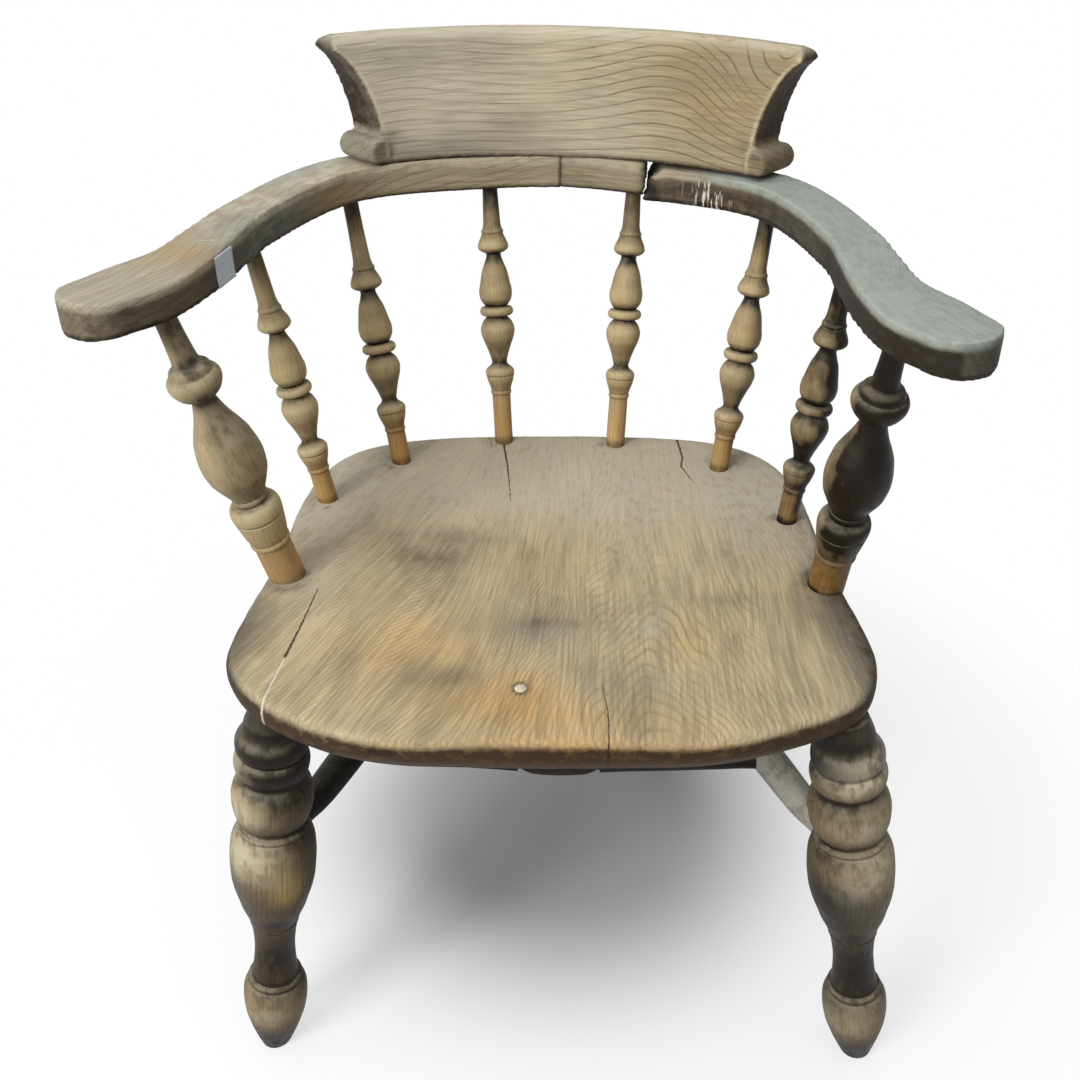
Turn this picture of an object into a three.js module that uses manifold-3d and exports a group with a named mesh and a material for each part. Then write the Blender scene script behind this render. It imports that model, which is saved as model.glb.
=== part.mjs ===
// A worn low-backed wooden armchair: a saddled plank seat on four turned legs, and a bent
// arm bow carried on eight turned spindles, with a shaped crest rail screwed on top of it.
// Millimetres, +Z up. The sitter faces -Y and +X is on the right of someone facing the chair.
// The right half of the bow has broken: a short stub stays under the crest, and the arm sags.
import * as THREE from 'three';
import { mergeVertices } from 'three/addons/utils/BufferGeometryUtils.js';
import Module from 'manifold-3d';

const wasm = await Module();
wasm.setup();

// Fits, and how finely round things are cut
const fitGap = 0.3;
const roundFacets = 10;
const hollowFacets = 24;
const curveSteps = 3;
const beadSteps = 2;

// Seat plank
const seatTopHeight = 430;
const seatThickness = 42;
const seatTurn = 1.8;
const seatFrontY = -252;
const seatBackY = 231;
const seatFrontFlat = 90;
const seatFrontBulge = 2;
const seatCornerReach = 85;
const seatCornerDrop = 67;
const seatCornerTuck = 7;
const seatFrontHalf = 265;
const seatWidestY = -138;
const seatWaistHalf = 248;
const seatWaistY = 30;
const seatWaistPull = 55;
const seatShoulderX = 208;
const seatShoulderY = 210;
const seatTopRound = 8;
const seatUndercut = 18;
const seatUndercutRise = 20;
const seatOutlineSteps = 7;

// Hollows worked in the top of the seat
const dishDepth = 9;
const dishHalfWidth = 195;
const dishHalfLength = 165;
const dishCentreY = 25;
const thighHollowDepth = 4;
const thighHollowHalfWidth = 95;
const thighHollowHalfLength = 150;
const thighHollowX = 118;
const thighHollowY = -225;

// Where the uprights stand on the seat, in order from the front, on each side
const leftSeatHoles = [
  new THREE.Vector2(-233, -40),
  new THREE.Vector2(-222, 89),
  new THREE.Vector2(-161, 166),
  new THREE.Vector2(-59, 213),
];
const rightSeatHoles = [
  new THREE.Vector2(242, -39),
  new THREE.Vector2(220, 66),
  new THREE.Vector2(163, 163),
  new THREE.Vector2(58, 209),
];
const uprightSocketDepth = 24;
const turningRise = 254;

// Arm bow, drawn for the right-hand half from the back centre to the hand rest
const bowUndersideHeight = 684;
const bowThickness = 30;
const bowCentreY = 284;
const bowTwist = -2.6;
const bowLean = 0.75;
const bowEdgeRound = 6;
const bowSteps = 22;
const bowBackWidth = 50;
const bowCornerWidth = 47;
const bowWaistWidth = 44;
const bowSideWidth = 48;
const palmNeckWidth = 53;
const palmWidth = 69;
const palmEndWidth = 62;
const palmEndReach = 29;
const palmEndSteps = 8;
const bowWaistX = 254;
const bowWaistY = -200;
const bowSideX = 264;
const bowSideY = -264;
const palmNeckX = 272;
const palmNeckY = -318;
const palmX = 291;
const palmY = -364;
const palmEndX = 308;
const palmEndY = -392;
const supportSocketX = 272;
const supportSocketY = -367;
const sideSocketX = 258;
const sideSocketY = -197;
const cornerSocketX = 198;
const cornerSocketY = -70;
const backSocketX = 71;
const backSocketY = -12;
const bowSocketDepth = 19;

// The break in the right half of the bow, and how far the loose arm has sagged
const breakX = 85;
const breakJag = 3;
const breakTeeth = 6;
const breakReach = 75;
const breakLesserTooth = 0.5;
const breakGap = 5;
const sagAngle = -1.1;
const sagPivotX = 290;
const chipWidth = 9;
const chipDepth = 8;

// Crest rail
const crestFrontRadius = 350;
const crestFaceSetback = 25;
const crestShift = 8;
const crestHeight = 112;
const crestFootThickness = 38;
const crestTopThickness = 17;
const crestLean = 18;
const crestHalfFoot = 169;
const crestEndAngle = 38;
const crestEndFlare = 31;
const crestWaistHeight = 28;
const crestEarRadius = 12;
const crestEarOut = 5;
const crestEarFront = 3;
const crestEarBack = 13;
const crestFacets = 96;

// Screws that hold the crest to the bow
const screwDiameter = 5;
const screwHeadDiameter = 10;
const screwHeadHeight = 4;
const screwBite = 32;
const screwWornHole = 9;
const screwHalfSpan = 148;
const screwInnerX = 38;

// Thin spindle turning, from the seat up: lengths of its members and their diameters
const spindleBase = { length: 33, diameter: 19 };
const spindleBackExtra = 18;
const spindleRing = { length: 4, diameter: 21 };
const spindleCup = { length: 19, diameter: 29 };
const spindleRim = { length: 6 };
const spindleNeck = { length: 5, diameter: 15.5 };
const spindleLowVase = { rise: 31, fall: 13, diameter: 34 };
const spindleGroove = { length: 1.5, diameter: 22 };
const spindleDisc = { length: 9, diameter: 33.5 };
const spindleHighVase = { rise: 14, fall: 36, diameter: 33 };
const spindleOnion = { rise: 6, fall: 16, diameter: 31 };
const spindleFillet = { length: 4, diameter: 21.5 };
const spindleTop = { flare: 6, lowDiameter: 17.5, diameter: 14.6 };

// Front arm support turning, from the seat up
const supportBase = { length: 38, diameter: 32 };
const supportRing = { length: 6, diameter: 35.5 };
const supportCup = { length: 23, diameter: 44 };
const supportRim = { length: 14, diameter: 45 };
const supportGroove = { length: 2, diameter: 28 };
const supportBead = { length: 5, diameter: 31 };
const supportVase = { rise: 38, fall: 62, diameter: 54 };
const supportNeck = { length: 3, diameter: 19.5 };
const supportBall = { rise: 12, fall: 9, diameter: 45 };
const supportFillet = { length: 5, diameter: 35 };
const supportTop = { flare: 9, lowDiameter: 21, diameter: 18 };

// Leg turning, from the floor up
const legFoot = { tip: 22, rise: 64, fall: 17, diameter: 58 };
const legFillet = { length: 5, diameter: 46 };
const legAnkle = { fall: 33, lowDiameter: 40, diameter: 36 };
const legVase = { rise: 108, fall: 38, diameter: 74, shoulder: 60 };
const legStep = { length: 4, diameter: 57 };
const legGroove = { length: 4, diameter: 52 };
const legBall = { length: 47, diameter: 68, top: 58 };
const legCove = { length: 9, diameter: 51 };
const legLowRing = { length: 18, diameter: 63 };
const legQuirk = { length: 2, diameter: 55 };
const legHighRing = { length: 20, diameter: 59 };
const legNeck = { flare: 12, diameter: 45 };
const legTenonDiameter = 30;
const legTenonLength = 25;

// Where the legs stand on the floor and enter the underside of the seat
const leftFoot = new THREE.Vector2(-260, -206);
const rightFoot = new THREE.Vector2(298, -195);
const leftLegTop = new THREE.Vector2(-219, -184);
const rightLegTop = new THREE.Vector2(244, -180);
const rearLeftFoot = new THREE.Vector2(-137, 238);
const rearRightFoot = new THREE.Vector2(130, 238);
const rearLeftTop = new THREE.Vector2(-92, 135);
const rearRightTop = new THREE.Vector2(88, 135);

// Stretchers: two along the sides, two across between them
const stretcherHeight = 240;
const stretcherLead = 8;
const sideStretcherEnd = 19;
const sideStretcherShoulder = 29;
const sideStretcherRamp = 40;
const sideStretcherSwell = 33;
const sideSocketDepth = 20;
const crossStretcherEnd = 14;
const crossStretcherSwell = 27;
const crossBulb = 34;
const crossBulbLength = 70;
const crossNotch = 22;
const crossNotchLength = 4;
const crossPlaces = [0.31, 0.66];
const crossSocketDepth = 11;

// Small things
const plugDiameter = 9;
const plugLength = 14;
const plugX = -16;
const plugY = -188;
const labelWidth = 22;
const labelHeight = 20;
const labelThickness = 0.6;
const labelStep = 15;

const axisZ = new THREE.Vector3(0, 0, 1);
const radians = THREE.MathUtils.degToRad;

// The turned outlines of the uprights are drawn for one rise from seat to bow, and keep to it
const turningPace = (bowUndersideHeight - seatTopHeight) / turningRise;

/** Turns a closed three.js geometry into a solid that can be joined and cut. */
function toSolid(geometry, matrix = new THREE.Matrix4()) {
  const copy = geometry.clone().applyMatrix4(matrix);
  copy.deleteAttribute('normal');
  copy.deleteAttribute('uv');
  const merged = mergeVertices(copy, 1e-4);
  const vertProperties = new Float32Array(merged.attributes.position.array);
  const index = Array.from(merged.index.array);
  const corner = (i) => new THREE.Vector3().fromArray(vertProperties, 3 * i);
  let volume = 0;
  const kept = [];
  for (let i = 0; i < index.length; i += 3) {
    const [a, b, c] = index.slice(i, i + 3);
    if (a === b || b === c || c === a) continue;
    kept.push(a, b, c);
    volume += corner(a).dot(corner(b).cross(corner(c)));
  }
  const triVerts = new Uint32Array(kept);
  if (volume < 0) triVerts.reverse();
  return new wasm.Manifold(new wasm.Mesh({ numProp: 3, vertProperties, triVerts }));
}

/** Turns a solid back into a three.js geometry. */
function toGeometry(solid) {
  const mesh = solid.getMesh();
  const geometry = new THREE.BufferGeometry();
  geometry.setAttribute('position', new THREE.BufferAttribute(mesh.vertProperties, 3));
  geometry.setIndex(new THREE.BufferAttribute(mesh.triVerts, 1));
  geometry.computeVertexNormals();
  return geometry;
}

/** A matrix that stands local +Z on the line from one point towards another. */
function alongLine(from, to) {
  const direction = to.clone().sub(from).normalize();
  const turn = new THREE.Quaternion().setFromUnitVectors(axisZ, direction);
  return new THREE.Matrix4().compose(from, turn, new THREE.Vector3(1, 1, 1));
}

/**
 * A lathe-turned outline: points run up the axis as (radius, height). The pace stretches the
 * lengths that it is drawn with.
 */
class Turning {
  constructor(diameter, height = 0, pace = 1) {
    this.points = [new THREE.Vector2(0, height)];
    this.height = height;
    this.diameter = diameter;
    this.pace = pace;
    this.mark();
  }

  mark() {
    this.points.push(new THREE.Vector2(this.diameter / 2, this.height));
    return this;
  }

  /** A straight run to a new diameter; with no length it is a square step. */
  straight(length, diameter = this.diameter) {
    return this.upTo(this.height + length * this.pace, diameter);
  }

  /** A straight run to a height and a new diameter. */
  upTo(height, diameter = this.diameter) {
    this.height = height;
    this.diameter = diameter;
    return this.mark();
  }

  /** A flank drawn by a blend of the share of the way up, from 0 to 1. */
  flank(length, diameter, blend, steps = curveSteps) {
    const low = this.height;
    const start = this.diameter;
    for (let i = 1; i <= steps; i += 1) {
      this.height = low + (length * this.pace * i) / steps;
      this.diameter = start + (diameter - start) * blend(i / steps);
      this.mark();
    }
    return this;
  }

  /** A smooth double curve, hollow at one end and full at the other. */
  sweep(length, diameter) {
    return this.flank(length, diameter, (t) => 0.5 - 0.5 * Math.cos(Math.PI * t));
  }

  /** A quarter round that swells out quickly and finishes at its full diameter. */
  swell(length, diameter) {
    return this.flank(length, diameter, (t) => Math.sin((Math.PI / 2) * t));
  }

  /** A quarter round that leaves its full diameter slowly and turns in. */
  shrink(length, diameter) {
    return this.flank(length, diameter, (t) => 1 - Math.cos((Math.PI / 2) * t));
  }

  /** A half round ring that stands out to a diameter and comes back to where it began. */
  bead(length, diameter) {
    const start = this.diameter;
    return this.swellTo(length / 2, diameter).shrinkTo(length / 2, start);
  }

  swellTo(length, diameter) {
    return this.flank(length, diameter, (t) => Math.sqrt(1 - (1 - t) * (1 - t)), beadSteps);
  }

  shrinkTo(length, diameter) {
    return this.flank(length, diameter, (t) => 1 - Math.sqrt(1 - t * t), beadSteps);
  }

  /** Closes the outline on the axis and turns it about +Z. */
  lathe(facets) {
    this.points.push(new THREE.Vector2(0, this.height));
    return new THREE.LatheGeometry(this.points, facets).rotateX(Math.PI / 2);
  }
}

/** A plain round bar along +Z. */
function bar(diameter, low, high) {
  return new Turning(diameter, low).straight(high - low).lathe(roundFacets);
}

/** The thin spindle: a cup, two vases with a disc between them and an onion, then a neck. */
function spindleGeometry(length, baseLength) {
  const t = new Turning(spindleBase.diameter, fitGap - uprightSocketDepth, turningPace);
  t.upTo(baseLength * turningPace);
  t.bead(spindleRing.length, spindleRing.diameter);
  t.sweep(spindleCup.length, spindleCup.diameter);
  t.shrink(spindleRim.length, spindleGroove.diameter);
  t.sweep(spindleNeck.length, spindleNeck.diameter);
  t.sweep(spindleLowVase.rise, spindleLowVase.diameter);
  t.shrink(spindleLowVase.fall, spindleGroove.diameter);
  t.straight(spindleGroove.length);
  t.bead(spindleDisc.length, spindleDisc.diameter);
  t.straight(spindleGroove.length);
  t.swell(spindleHighVase.rise, spindleHighVase.diameter);
  t.sweep(spindleHighVase.fall, spindleNeck.diameter);
  t.swell(spindleOnion.rise, spindleOnion.diameter);
  t.sweep(spindleOnion.fall, spindleTop.lowDiameter);
  t.bead(spindleFillet.length, spindleFillet.diameter);
  t.straight(spindleTop.flare);
  t.upTo(length, spindleTop.diameter);
  t.upTo(length + bowSocketDepth - fitGap);
  return t.lathe(roundFacets);
}

/** The thick support under each hand rest: a cup, one long vase and a ball. */
function supportGeometry(length) {
  const t = new Turning(supportBase.diameter, fitGap - uprightSocketDepth, turningPace);
  t.upTo(supportBase.length * turningPace);
  t.bead(supportRing.length, supportRing.diameter);
  t.sweep(supportCup.length, supportCup.diameter);
  t.bead(supportRim.length, supportRim.diameter);
  t.straight(0, supportGroove.diameter);
  t.straight(supportGroove.length);
  t.bead(supportBead.length, supportBead.diameter);
  t.swell(supportVase.rise, supportVase.diameter);
  t.sweep(supportVase.fall, supportNeck.diameter);
  t.straight(supportNeck.length);
  t.swell(supportBall.rise, supportBall.diameter);
  t.shrink(supportBall.fall, supportFillet.diameter);
  t.straight(supportFillet.length);
  t.sweep(supportTop.flare, supportTop.lowDiameter);
  t.upTo(length, supportTop.diameter);
  t.upTo(length + bowSocketDepth - fitGap);
  return t.lathe(roundFacets);
}

/** The leg: a ball foot, a thin ankle, a heavy vase, a ball and two rings below the seat. */
function legGeometry(length) {
  const t = new Turning(legFoot.tip, -legFoot.tip / 2);
  t.straight(legFoot.tip / 2);
  t.swell(legFoot.rise, legFoot.diameter);
  t.shrink(legFoot.fall, legFillet.diameter);
  t.straight(legFillet.length);
  t.straight(0, legAnkle.lowDiameter);
  t.sweep(legAnkle.fall, legAnkle.diameter);
  t.sweep(legVase.rise, legVase.diameter);
  t.shrink(legVase.fall, legVase.shoulder);
  t.straight(0, legStep.diameter);
  t.straight(legStep.length);
  t.straight(0, legGroove.diameter);
  t.straight(legGroove.length);
  t.swell(legBall.length / 2, legBall.diameter);
  t.shrink(legBall.length / 2, legBall.top);
  t.sweep(legCove.length, legCove.diameter);
  t.bead(legLowRing.length, legLowRing.diameter);
  t.straight(0, legQuirk.diameter);
  t.straight(legQuirk.length);
  t.swellTo(legHighRing.length / 2, legHighRing.diameter);
  t.shrinkTo(legHighRing.length / 2, legQuirk.diameter);
  t.sweep(legNeck.flare, legNeck.diameter);
  t.straight(length + legTenonLength - t.height);
  return t.lathe(roundFacets);
}

/** A side stretcher along +Z: plain ends in their sockets and a swell, fullest at the middle. */
function sideStretcherGeometry(length) {
  const run = length / 2 - stretcherLead - sideStretcherRamp;
  const t = new Turning(sideStretcherEnd, fitGap - sideSocketDepth);
  t.straight(sideSocketDepth - fitGap + stretcherLead);
  t.sweep(sideStretcherRamp, sideStretcherShoulder);
  t.swell(run, sideStretcherSwell);
  t.shrink(run, sideStretcherShoulder);
  t.sweep(sideStretcherRamp, sideStretcherEnd);
  t.straight(sideSocketDepth - fitGap + stretcherLead);
  return t.lathe(roundFacets);
}

/** A cross stretcher along +Z: long tapers on each side of a bulb that two notches set off. */
function crossStretcherGeometry(length) {
  const run = (length - crossBulbLength) / 2 - crossNotchLength - stretcherLead;
  const t = new Turning(crossStretcherEnd, fitGap - crossSocketDepth);
  t.straight(crossSocketDepth - fitGap + stretcherLead);
  t.sweep(run, crossStretcherSwell);
  t.straight(0, crossNotch);
  t.straight(crossNotchLength);
  t.bead(crossBulbLength, crossBulb);
  t.straight(crossNotchLength);
  t.straight(0, crossStretcherSwell);
  t.sweep(run, crossStretcherEnd);
  t.straight(crossSocketDepth - fitGap + stretcherLead);
  return t.lathe(roundFacets);
}

/** The seat outline: a long shallow front, tucked waist and broad rounded back. */
function seatOutline() {
  const shape = new THREE.Shape();
  shape.moveTo(0, seatFrontY);
  shape.lineTo(seatFrontFlat, seatFrontY + seatFrontBulge);
  shape.bezierCurveTo(
    seatFrontFlat + seatCornerReach, seatFrontY + seatFrontBulge,
    seatFrontHalf - seatCornerTuck, seatWidestY - seatCornerDrop,
    seatFrontHalf, seatWidestY,
  );
  shape.bezierCurveTo(
    seatFrontHalf, seatWidestY + seatWaistPull,
    seatWaistHalf, seatWaistY - seatWaistPull,
    seatWaistHalf, seatWaistY,
  );
  shape.bezierCurveTo(seatWaistHalf, seatShoulderY, seatShoulderX, seatBackY, 0, seatBackY);
  const half = shape.getPoints(seatOutlineSteps);
  const other = half.slice(1, -1).reverse().map((p) => new THREE.Vector2(-p.x, p.y));
  return new THREE.Shape([...half, ...other]);
}

/** A shallow bowl of a given depth that opens upwards at height zero. */
function hollow(depth, halfWidth, halfLength) {
  const rim = depth;
  const points = [new THREE.Vector2(0, -depth)];
  for (let i = 1; i <= curveSteps; i += 1) {
    const share = i / curveSteps;
    points.push(new THREE.Vector2(share, -depth * (0.5 + 0.5 * Math.cos(Math.PI * share))));
  }
  points.push(new THREE.Vector2(1, rim), new THREE.Vector2(0, rim));
  const bowl = new THREE.LatheGeometry(points, hollowFacets).rotateX(Math.PI / 2);
  return bowl.scale(halfWidth, halfLength, 1);
}

/** The seat: rounded above, undercut below, with a dish and two thigh hollows. */
function seatSolid() {
  const outline = seatOutline();
  const extra = seatUndercut;
  const rounded = new THREE.ExtrudeGeometry(outline, {
    depth: seatThickness + extra,
    bevelThickness: seatTopRound,
    bevelSize: seatTopRound,
    bevelOffset: -seatTopRound,
    bevelSegments: 3,
    steps: 1,
  });
  const undercut = new THREE.ExtrudeGeometry(outline, {
    depth: seatThickness + extra,
    bevelThickness: seatUndercutRise,
    bevelSize: seatUndercut,
    bevelOffset: -seatUndercut,
    bevelSegments: 1,
    steps: 1,
  });
  const top = seatThickness;
  const body = toSolid(rounded.translate(0, 0, top - seatThickness - extra - seatTopRound))
    .intersect(toSolid(undercut.translate(0, 0, seatUndercutRise)));
  const dish = hollow(dishDepth, dishHalfWidth, dishHalfLength);
  let solid = body.subtract(toSolid(dish.translate(0, dishCentreY, top)));
  for (const side of [-1, 1]) {
    const thigh = hollow(thighHollowDepth, thighHollowHalfWidth, thighHollowHalfLength);
    solid = solid.subtract(toSolid(thigh.translate(side * thighHollowX, thighHollowY, top)));
  }
  return solid;
}

/** Centre line of half the bow; each point is (x, y, width). */
const bowLine = new THREE.CatmullRomCurve3([
  new THREE.Vector3(-backSocketX, backSocketY, bowBackWidth),
  new THREE.Vector3(0, 0, bowBackWidth),
  new THREE.Vector3(backSocketX, backSocketY, bowBackWidth),
  new THREE.Vector3(cornerSocketX, cornerSocketY, bowCornerWidth),
  new THREE.Vector3(bowWaistX, bowWaistY, bowWaistWidth),
  new THREE.Vector3(bowSideX, bowSideY, bowSideWidth),
  new THREE.Vector3(palmNeckX, palmNeckY, palmNeckWidth),
  new THREE.Vector3(palmX, palmY, palmWidth),
  new THREE.Vector3(palmEndX, palmEndY, palmEndWidth),
], false, 'centripetal');

/** Points of one edge of the bow, from before the back centre to the end of the palm. */
function bowEdge(side) {
  const points = [];
  for (let i = 0; i <= bowSteps; i += 1) {
    const share = i / bowSteps;
    const place = bowLine.getPoint(share);
    const run = bowLine.getTangent(share);
    const out = new THREE.Vector2(-run.y, run.x).normalize();
    const reach = (side * place.z) / 2;
    points.push(new THREE.Vector2(place.x + out.x * reach, place.y + out.y * reach));
  }
  return points;
}

/** Plan outline of half the bow, closed by the round end of the hand rest. */
function bowOutline() {
  const inner = bowEdge(-1);
  const outer = bowEdge(1);
  const run = bowLine.getTangent(1);
  const ahead = new THREE.Vector2(run.x, run.y).normalize();
  const from = outer[outer.length - 1];
  const to = inner[inner.length - 1];
  const middle = from.clone().add(to).multiplyScalar(0.5);
  const across = from.clone().sub(middle);
  const end = [];
  for (let i = 1; i < palmEndSteps; i += 1) {
    const angle = (Math.PI * i) / palmEndSteps;
    const point = middle.clone().addScaledVector(across, Math.cos(angle));
    end.push(point.addScaledVector(ahead, palmEndReach * Math.sin(angle)));
  }
  return new THREE.Shape([...outer, ...end, ...inner.reverse()]);
}

/** Half of the bow as one thick plank with eased edges, from before the centre joint. */
function halfBowGeometry() {
  return new THREE.ExtrudeGeometry(bowOutline(), {
    depth: bowThickness - 2 * bowEdgeRound,
    bevelThickness: bowEdgeRound,
    bevelSize: bowEdgeRound,
    bevelOffset: -bowEdgeRound,
    bevelSegments: 2,
    steps: 1,
  }).translate(0, 0, bowEdgeRound);
}

/** A tall block that stands on a plan outline and reaches well past the bow. */
function tallBlock(points) {
  const over = bowThickness;
  return new THREE.ExtrudeGeometry(new THREE.Shape(points), {
    depth: bowThickness + 2 * over,
    bevelEnabled: false,
  }).translate(0, 0, -over);
}

/** Everything on the -X side of a jagged line across the bow at x. */
function leftOfBreak(x) {
  const far = -palmEndX;
  const points = [new THREE.Vector2(far, -breakReach)];
  for (let i = 0; i <= breakTeeth; i += 1) {
    const tooth = breakJag * (i % 3 === 0 ? 1 : breakLesserTooth);
    const offset = i % 2 === 0 ? tooth : -tooth;
    points.push(new THREE.Vector2(x + offset, -breakReach + (2 * breakReach * i) / breakTeeth));
  }
  points.push(new THREE.Vector2(far, breakReach));
  return tallBlock(points);
}

/** Everything on the -X side of a straight saw cut across the bow at x. */
function leftOfCut(x) {
  const reach = palmEndX * 2;
  return tallBlock([
    new THREE.Vector2(-reach, -reach),
    new THREE.Vector2(x, -reach),
    new THREE.Vector2(x, reach),
    new THREE.Vector2(-reach, reach),
  ]);
}

/** The crest rail in the frame of the bow, standing on its top face. */
function crestSolid() {
  const foot = crestFrontRadius;
  const rake = crestLean / crestHeight;
  const topRound = crestTopThickness / 2;
  const topLow = crestHeight - topRound;
  const topCentre = foot + rake * topLow + topRound;
  const points = [
    new THREE.Vector2(foot, 0),
    new THREE.Vector2(foot + (rake * topLow) / 4, topLow / 2),
    new THREE.Vector2(foot + rake * topLow, topLow),
  ];
  for (let i = 1; i < curveSteps; i += 1) {
    const angle = Math.PI - (Math.PI * i) / curveSteps;
    points.push(new THREE.Vector2(
      topCentre + topRound * Math.cos(angle),
      topLow + topRound * Math.sin(angle),
    ));
  }
  points.push(
    new THREE.Vector2(topCentre + topRound, topLow),
    new THREE.Vector2(foot + crestFootThickness, crestHeight / 3),
    new THREE.Vector2(foot + crestFootThickness, 0),
    new THREE.Vector2(foot, 0),
  );
  const ring = new THREE.LatheGeometry(points, crestFacets).rotateX(Math.PI / 2);
  const keep = foot * 2;
  const back = new THREE.BoxGeometry(keep, keep, crestHeight * 3).translate(0, keep / 2, 0);
  let solid = toSolid(ring).intersect(toSolid(back));
  for (const side of [-1, 1]) {
    const frame = crestEndFrame(side);
    solid = solid.subtract(toSolid(crestEndCut(), frame));
    solid = solid.add(toSolid(crestEar(), frame));
  }
  const place = new THREE.Matrix4().makeTranslation(
    crestShift,
    -crestFaceSetback - crestFrontRadius,
    bowThickness + fitGap,
  );
  return toSolid(toGeometry(solid), place);
}

/** Frame of one end of the crest: +X runs out along the end, +Z up, and +Y forwards out. */
function crestEndFrame(side) {
  const angle = Math.asin(crestHalfFoot / crestFrontRadius);
  const turn = radians(crestEndAngle);
  const out = new THREE.Vector3(side * Math.cos(turn), -Math.sin(turn), 0);
  const back = new THREE.Vector3(side * Math.sin(turn), Math.cos(turn), 0);
  const frame = new THREE.Matrix4().makeBasis(out, back, axisZ);
  return frame.setPosition(side * crestHalfFoot, crestFrontRadius * Math.cos(angle), 0);
}

/** The wood sawn away beyond each hollow end of the crest. */
function crestEndCut() {
  const far = crestFrontRadius * 2;
  const shape = new THREE.Shape();
  shape.moveTo(0, -crestHeight);
  shape.lineTo(0, crestWaistHeight);
  shape.bezierCurveTo(
    0, crestWaistHeight + crestEndFlare,
    crestEndFlare / 2, crestHeight - crestEndFlare / 2,
    crestEndFlare, crestHeight - crestTopThickness / 2,
  );
  shape.lineTo(crestEndFlare - crestTopThickness / 2, crestHeight + fitGap);
  shape.lineTo(crestEndFlare, far);
  shape.lineTo(far, far);
  shape.lineTo(far, -crestHeight);
  const cut = new THREE.ExtrudeGeometry(shape, {
    depth: far * 2,
    bevelEnabled: false,
    curveSegments: curveSteps,
  });
  return cut.rotateX(Math.PI / 2).translate(0, far, 0);
}

/** The little roll at the foot of each end of the crest. */
function crestEar() {
  const length = crestEarFront + crestFootThickness + crestEarBack;
  const ease = crestEarRadius / 3;
  const roll = new Turning(2 * (crestEarRadius - ease), 0);
  roll.straight(ease, 2 * crestEarRadius);
  roll.straight(length - 3 * ease);
  roll.shrink(2 * ease, crestEarRadius);
  const turned = roll.lathe(roundFacets).rotateX(-Math.PI / 2);
  return turned.translate(crestEarOut, -crestEarFront, crestEarRadius);
}

/** A countersunk wood screw along +Z, its head flush with the origin plane. */
function screwGeometry() {
  const length = bowThickness + screwBite;
  return new Turning(screwHeadDiameter, 0)
    .straight(screwHeadHeight, screwDiameter)
    .straight(length - screwHeadHeight - screwDiameter)
    .straight(screwDiameter, screwDiameter / 3)
    .lathe(roundFacets);
}

/** The hole that a screw runs in, with its countersink and the fit all round. */
function screwHole(bore) {
  const length = bowThickness + screwBite + fitGap;
  return new Turning(screwHeadDiameter + 2 * fitGap, -screwHeadHeight)
    .straight(screwHeadHeight)
    .straight(screwHeadHeight, Math.max(bore, screwDiameter + 2 * fitGap))
    .straight(length - screwHeadHeight)
    .lathe(roundFacets);
}

// The bow stands twisted and leaning on its spindles, and the broken arm sags from it
const bowFrame = new THREE.Matrix4()
  .makeTranslation(0, bowCentreY, bowUndersideHeight)
  .multiply(new THREE.Matrix4().makeRotationZ(radians(bowTwist)))
  .multiply(new THREE.Matrix4().makeRotationY(radians(bowLean)));
const sagFrame = bowFrame.clone()
  .multiply(new THREE.Matrix4().makeTranslation(sagPivotX, 0, 0))
  .multiply(new THREE.Matrix4().makeRotationY(radians(sagAngle)))
  .multiply(new THREE.Matrix4().makeTranslation(-sagPivotX, 0, 0));
const mirrorX = new THREE.Matrix4().makeScale(-1, 1, 1);

// Sockets in the underside of the bow, in order from the front
const bowSockets = [
  new THREE.Vector3(supportSocketX, supportSocketY, 0),
  new THREE.Vector3(sideSocketX, sideSocketY, 0),
  new THREE.Vector3(cornerSocketX, cornerSocketY, 0),
  new THREE.Vector3(backSocketX, backSocketY, 0),
];

/** Each upright: its name, the two points it stands between and the piece it carries. */
const uprights = [];
for (const side of ['left', 'right']) {
  const holes = side === 'left' ? leftSeatHoles : rightSeatHoles;
  bowSockets.forEach((socket, order) => {
    const isSupport = order === 0;
    const onStub = side === 'right' && order === bowSockets.length - 1;
    const carried = side === 'left' ? 'arm_left' : onStub ? 'bow_stub' : 'arm_right';
    const frame = carried === 'arm_right' ? sagFrame : bowFrame;
    const sign = side === 'left' ? -1 : 1;
    const top = socket.clone().setX(sign * socket.x).applyMatrix4(frame);
    const foot = new THREE.Vector3(holes[order].x, holes[order].y, seatTopHeight);
    uprights.push({
      name: isSupport ? `arm_support_${side}` : `spindle_${side}_${order}`,
      isSupport,
      isBack: order === bowSockets.length - 1,
      carried,
      foot,
      top,
      frame: alongLine(foot, top),
      length: foot.distanceTo(top),
    });
  });
}

/** Each leg: its name and the line from the floor to the underside of the seat. */
const seatUnderside = seatTopHeight - seatThickness;
const legs = [
  ['leg_front_left', leftFoot, leftLegTop],
  ['leg_front_right', rightFoot, rightLegTop],
  ['leg_rear_left', rearLeftFoot, rearLeftTop],
  ['leg_rear_right', rearRightFoot, rearRightTop],
].map(([name, foot, top]) => {
  const low = new THREE.Vector3(foot.x, foot.y, 0);
  const high = new THREE.Vector3(top.x, top.y, seatUnderside);
  return { name, low, high, frame: alongLine(low, high), length: low.distanceTo(high) };
});

/** The point on a leg's axis at a height above the floor. */
function onLeg(leg, height) {
  return leg.low.clone().lerp(leg.high, height / seatUnderside);
}

/** Line between two axes, shortened at each end by the radius of what it enters. */
function between(from, to, radius) {
  const run = to.clone().sub(from).normalize();
  const start = from.clone().addScaledVector(run, radius);
  const end = to.clone().addScaledVector(run, -radius);
  return { start, end, frame: alongLine(start, end), length: start.distanceTo(end) };
}

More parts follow.
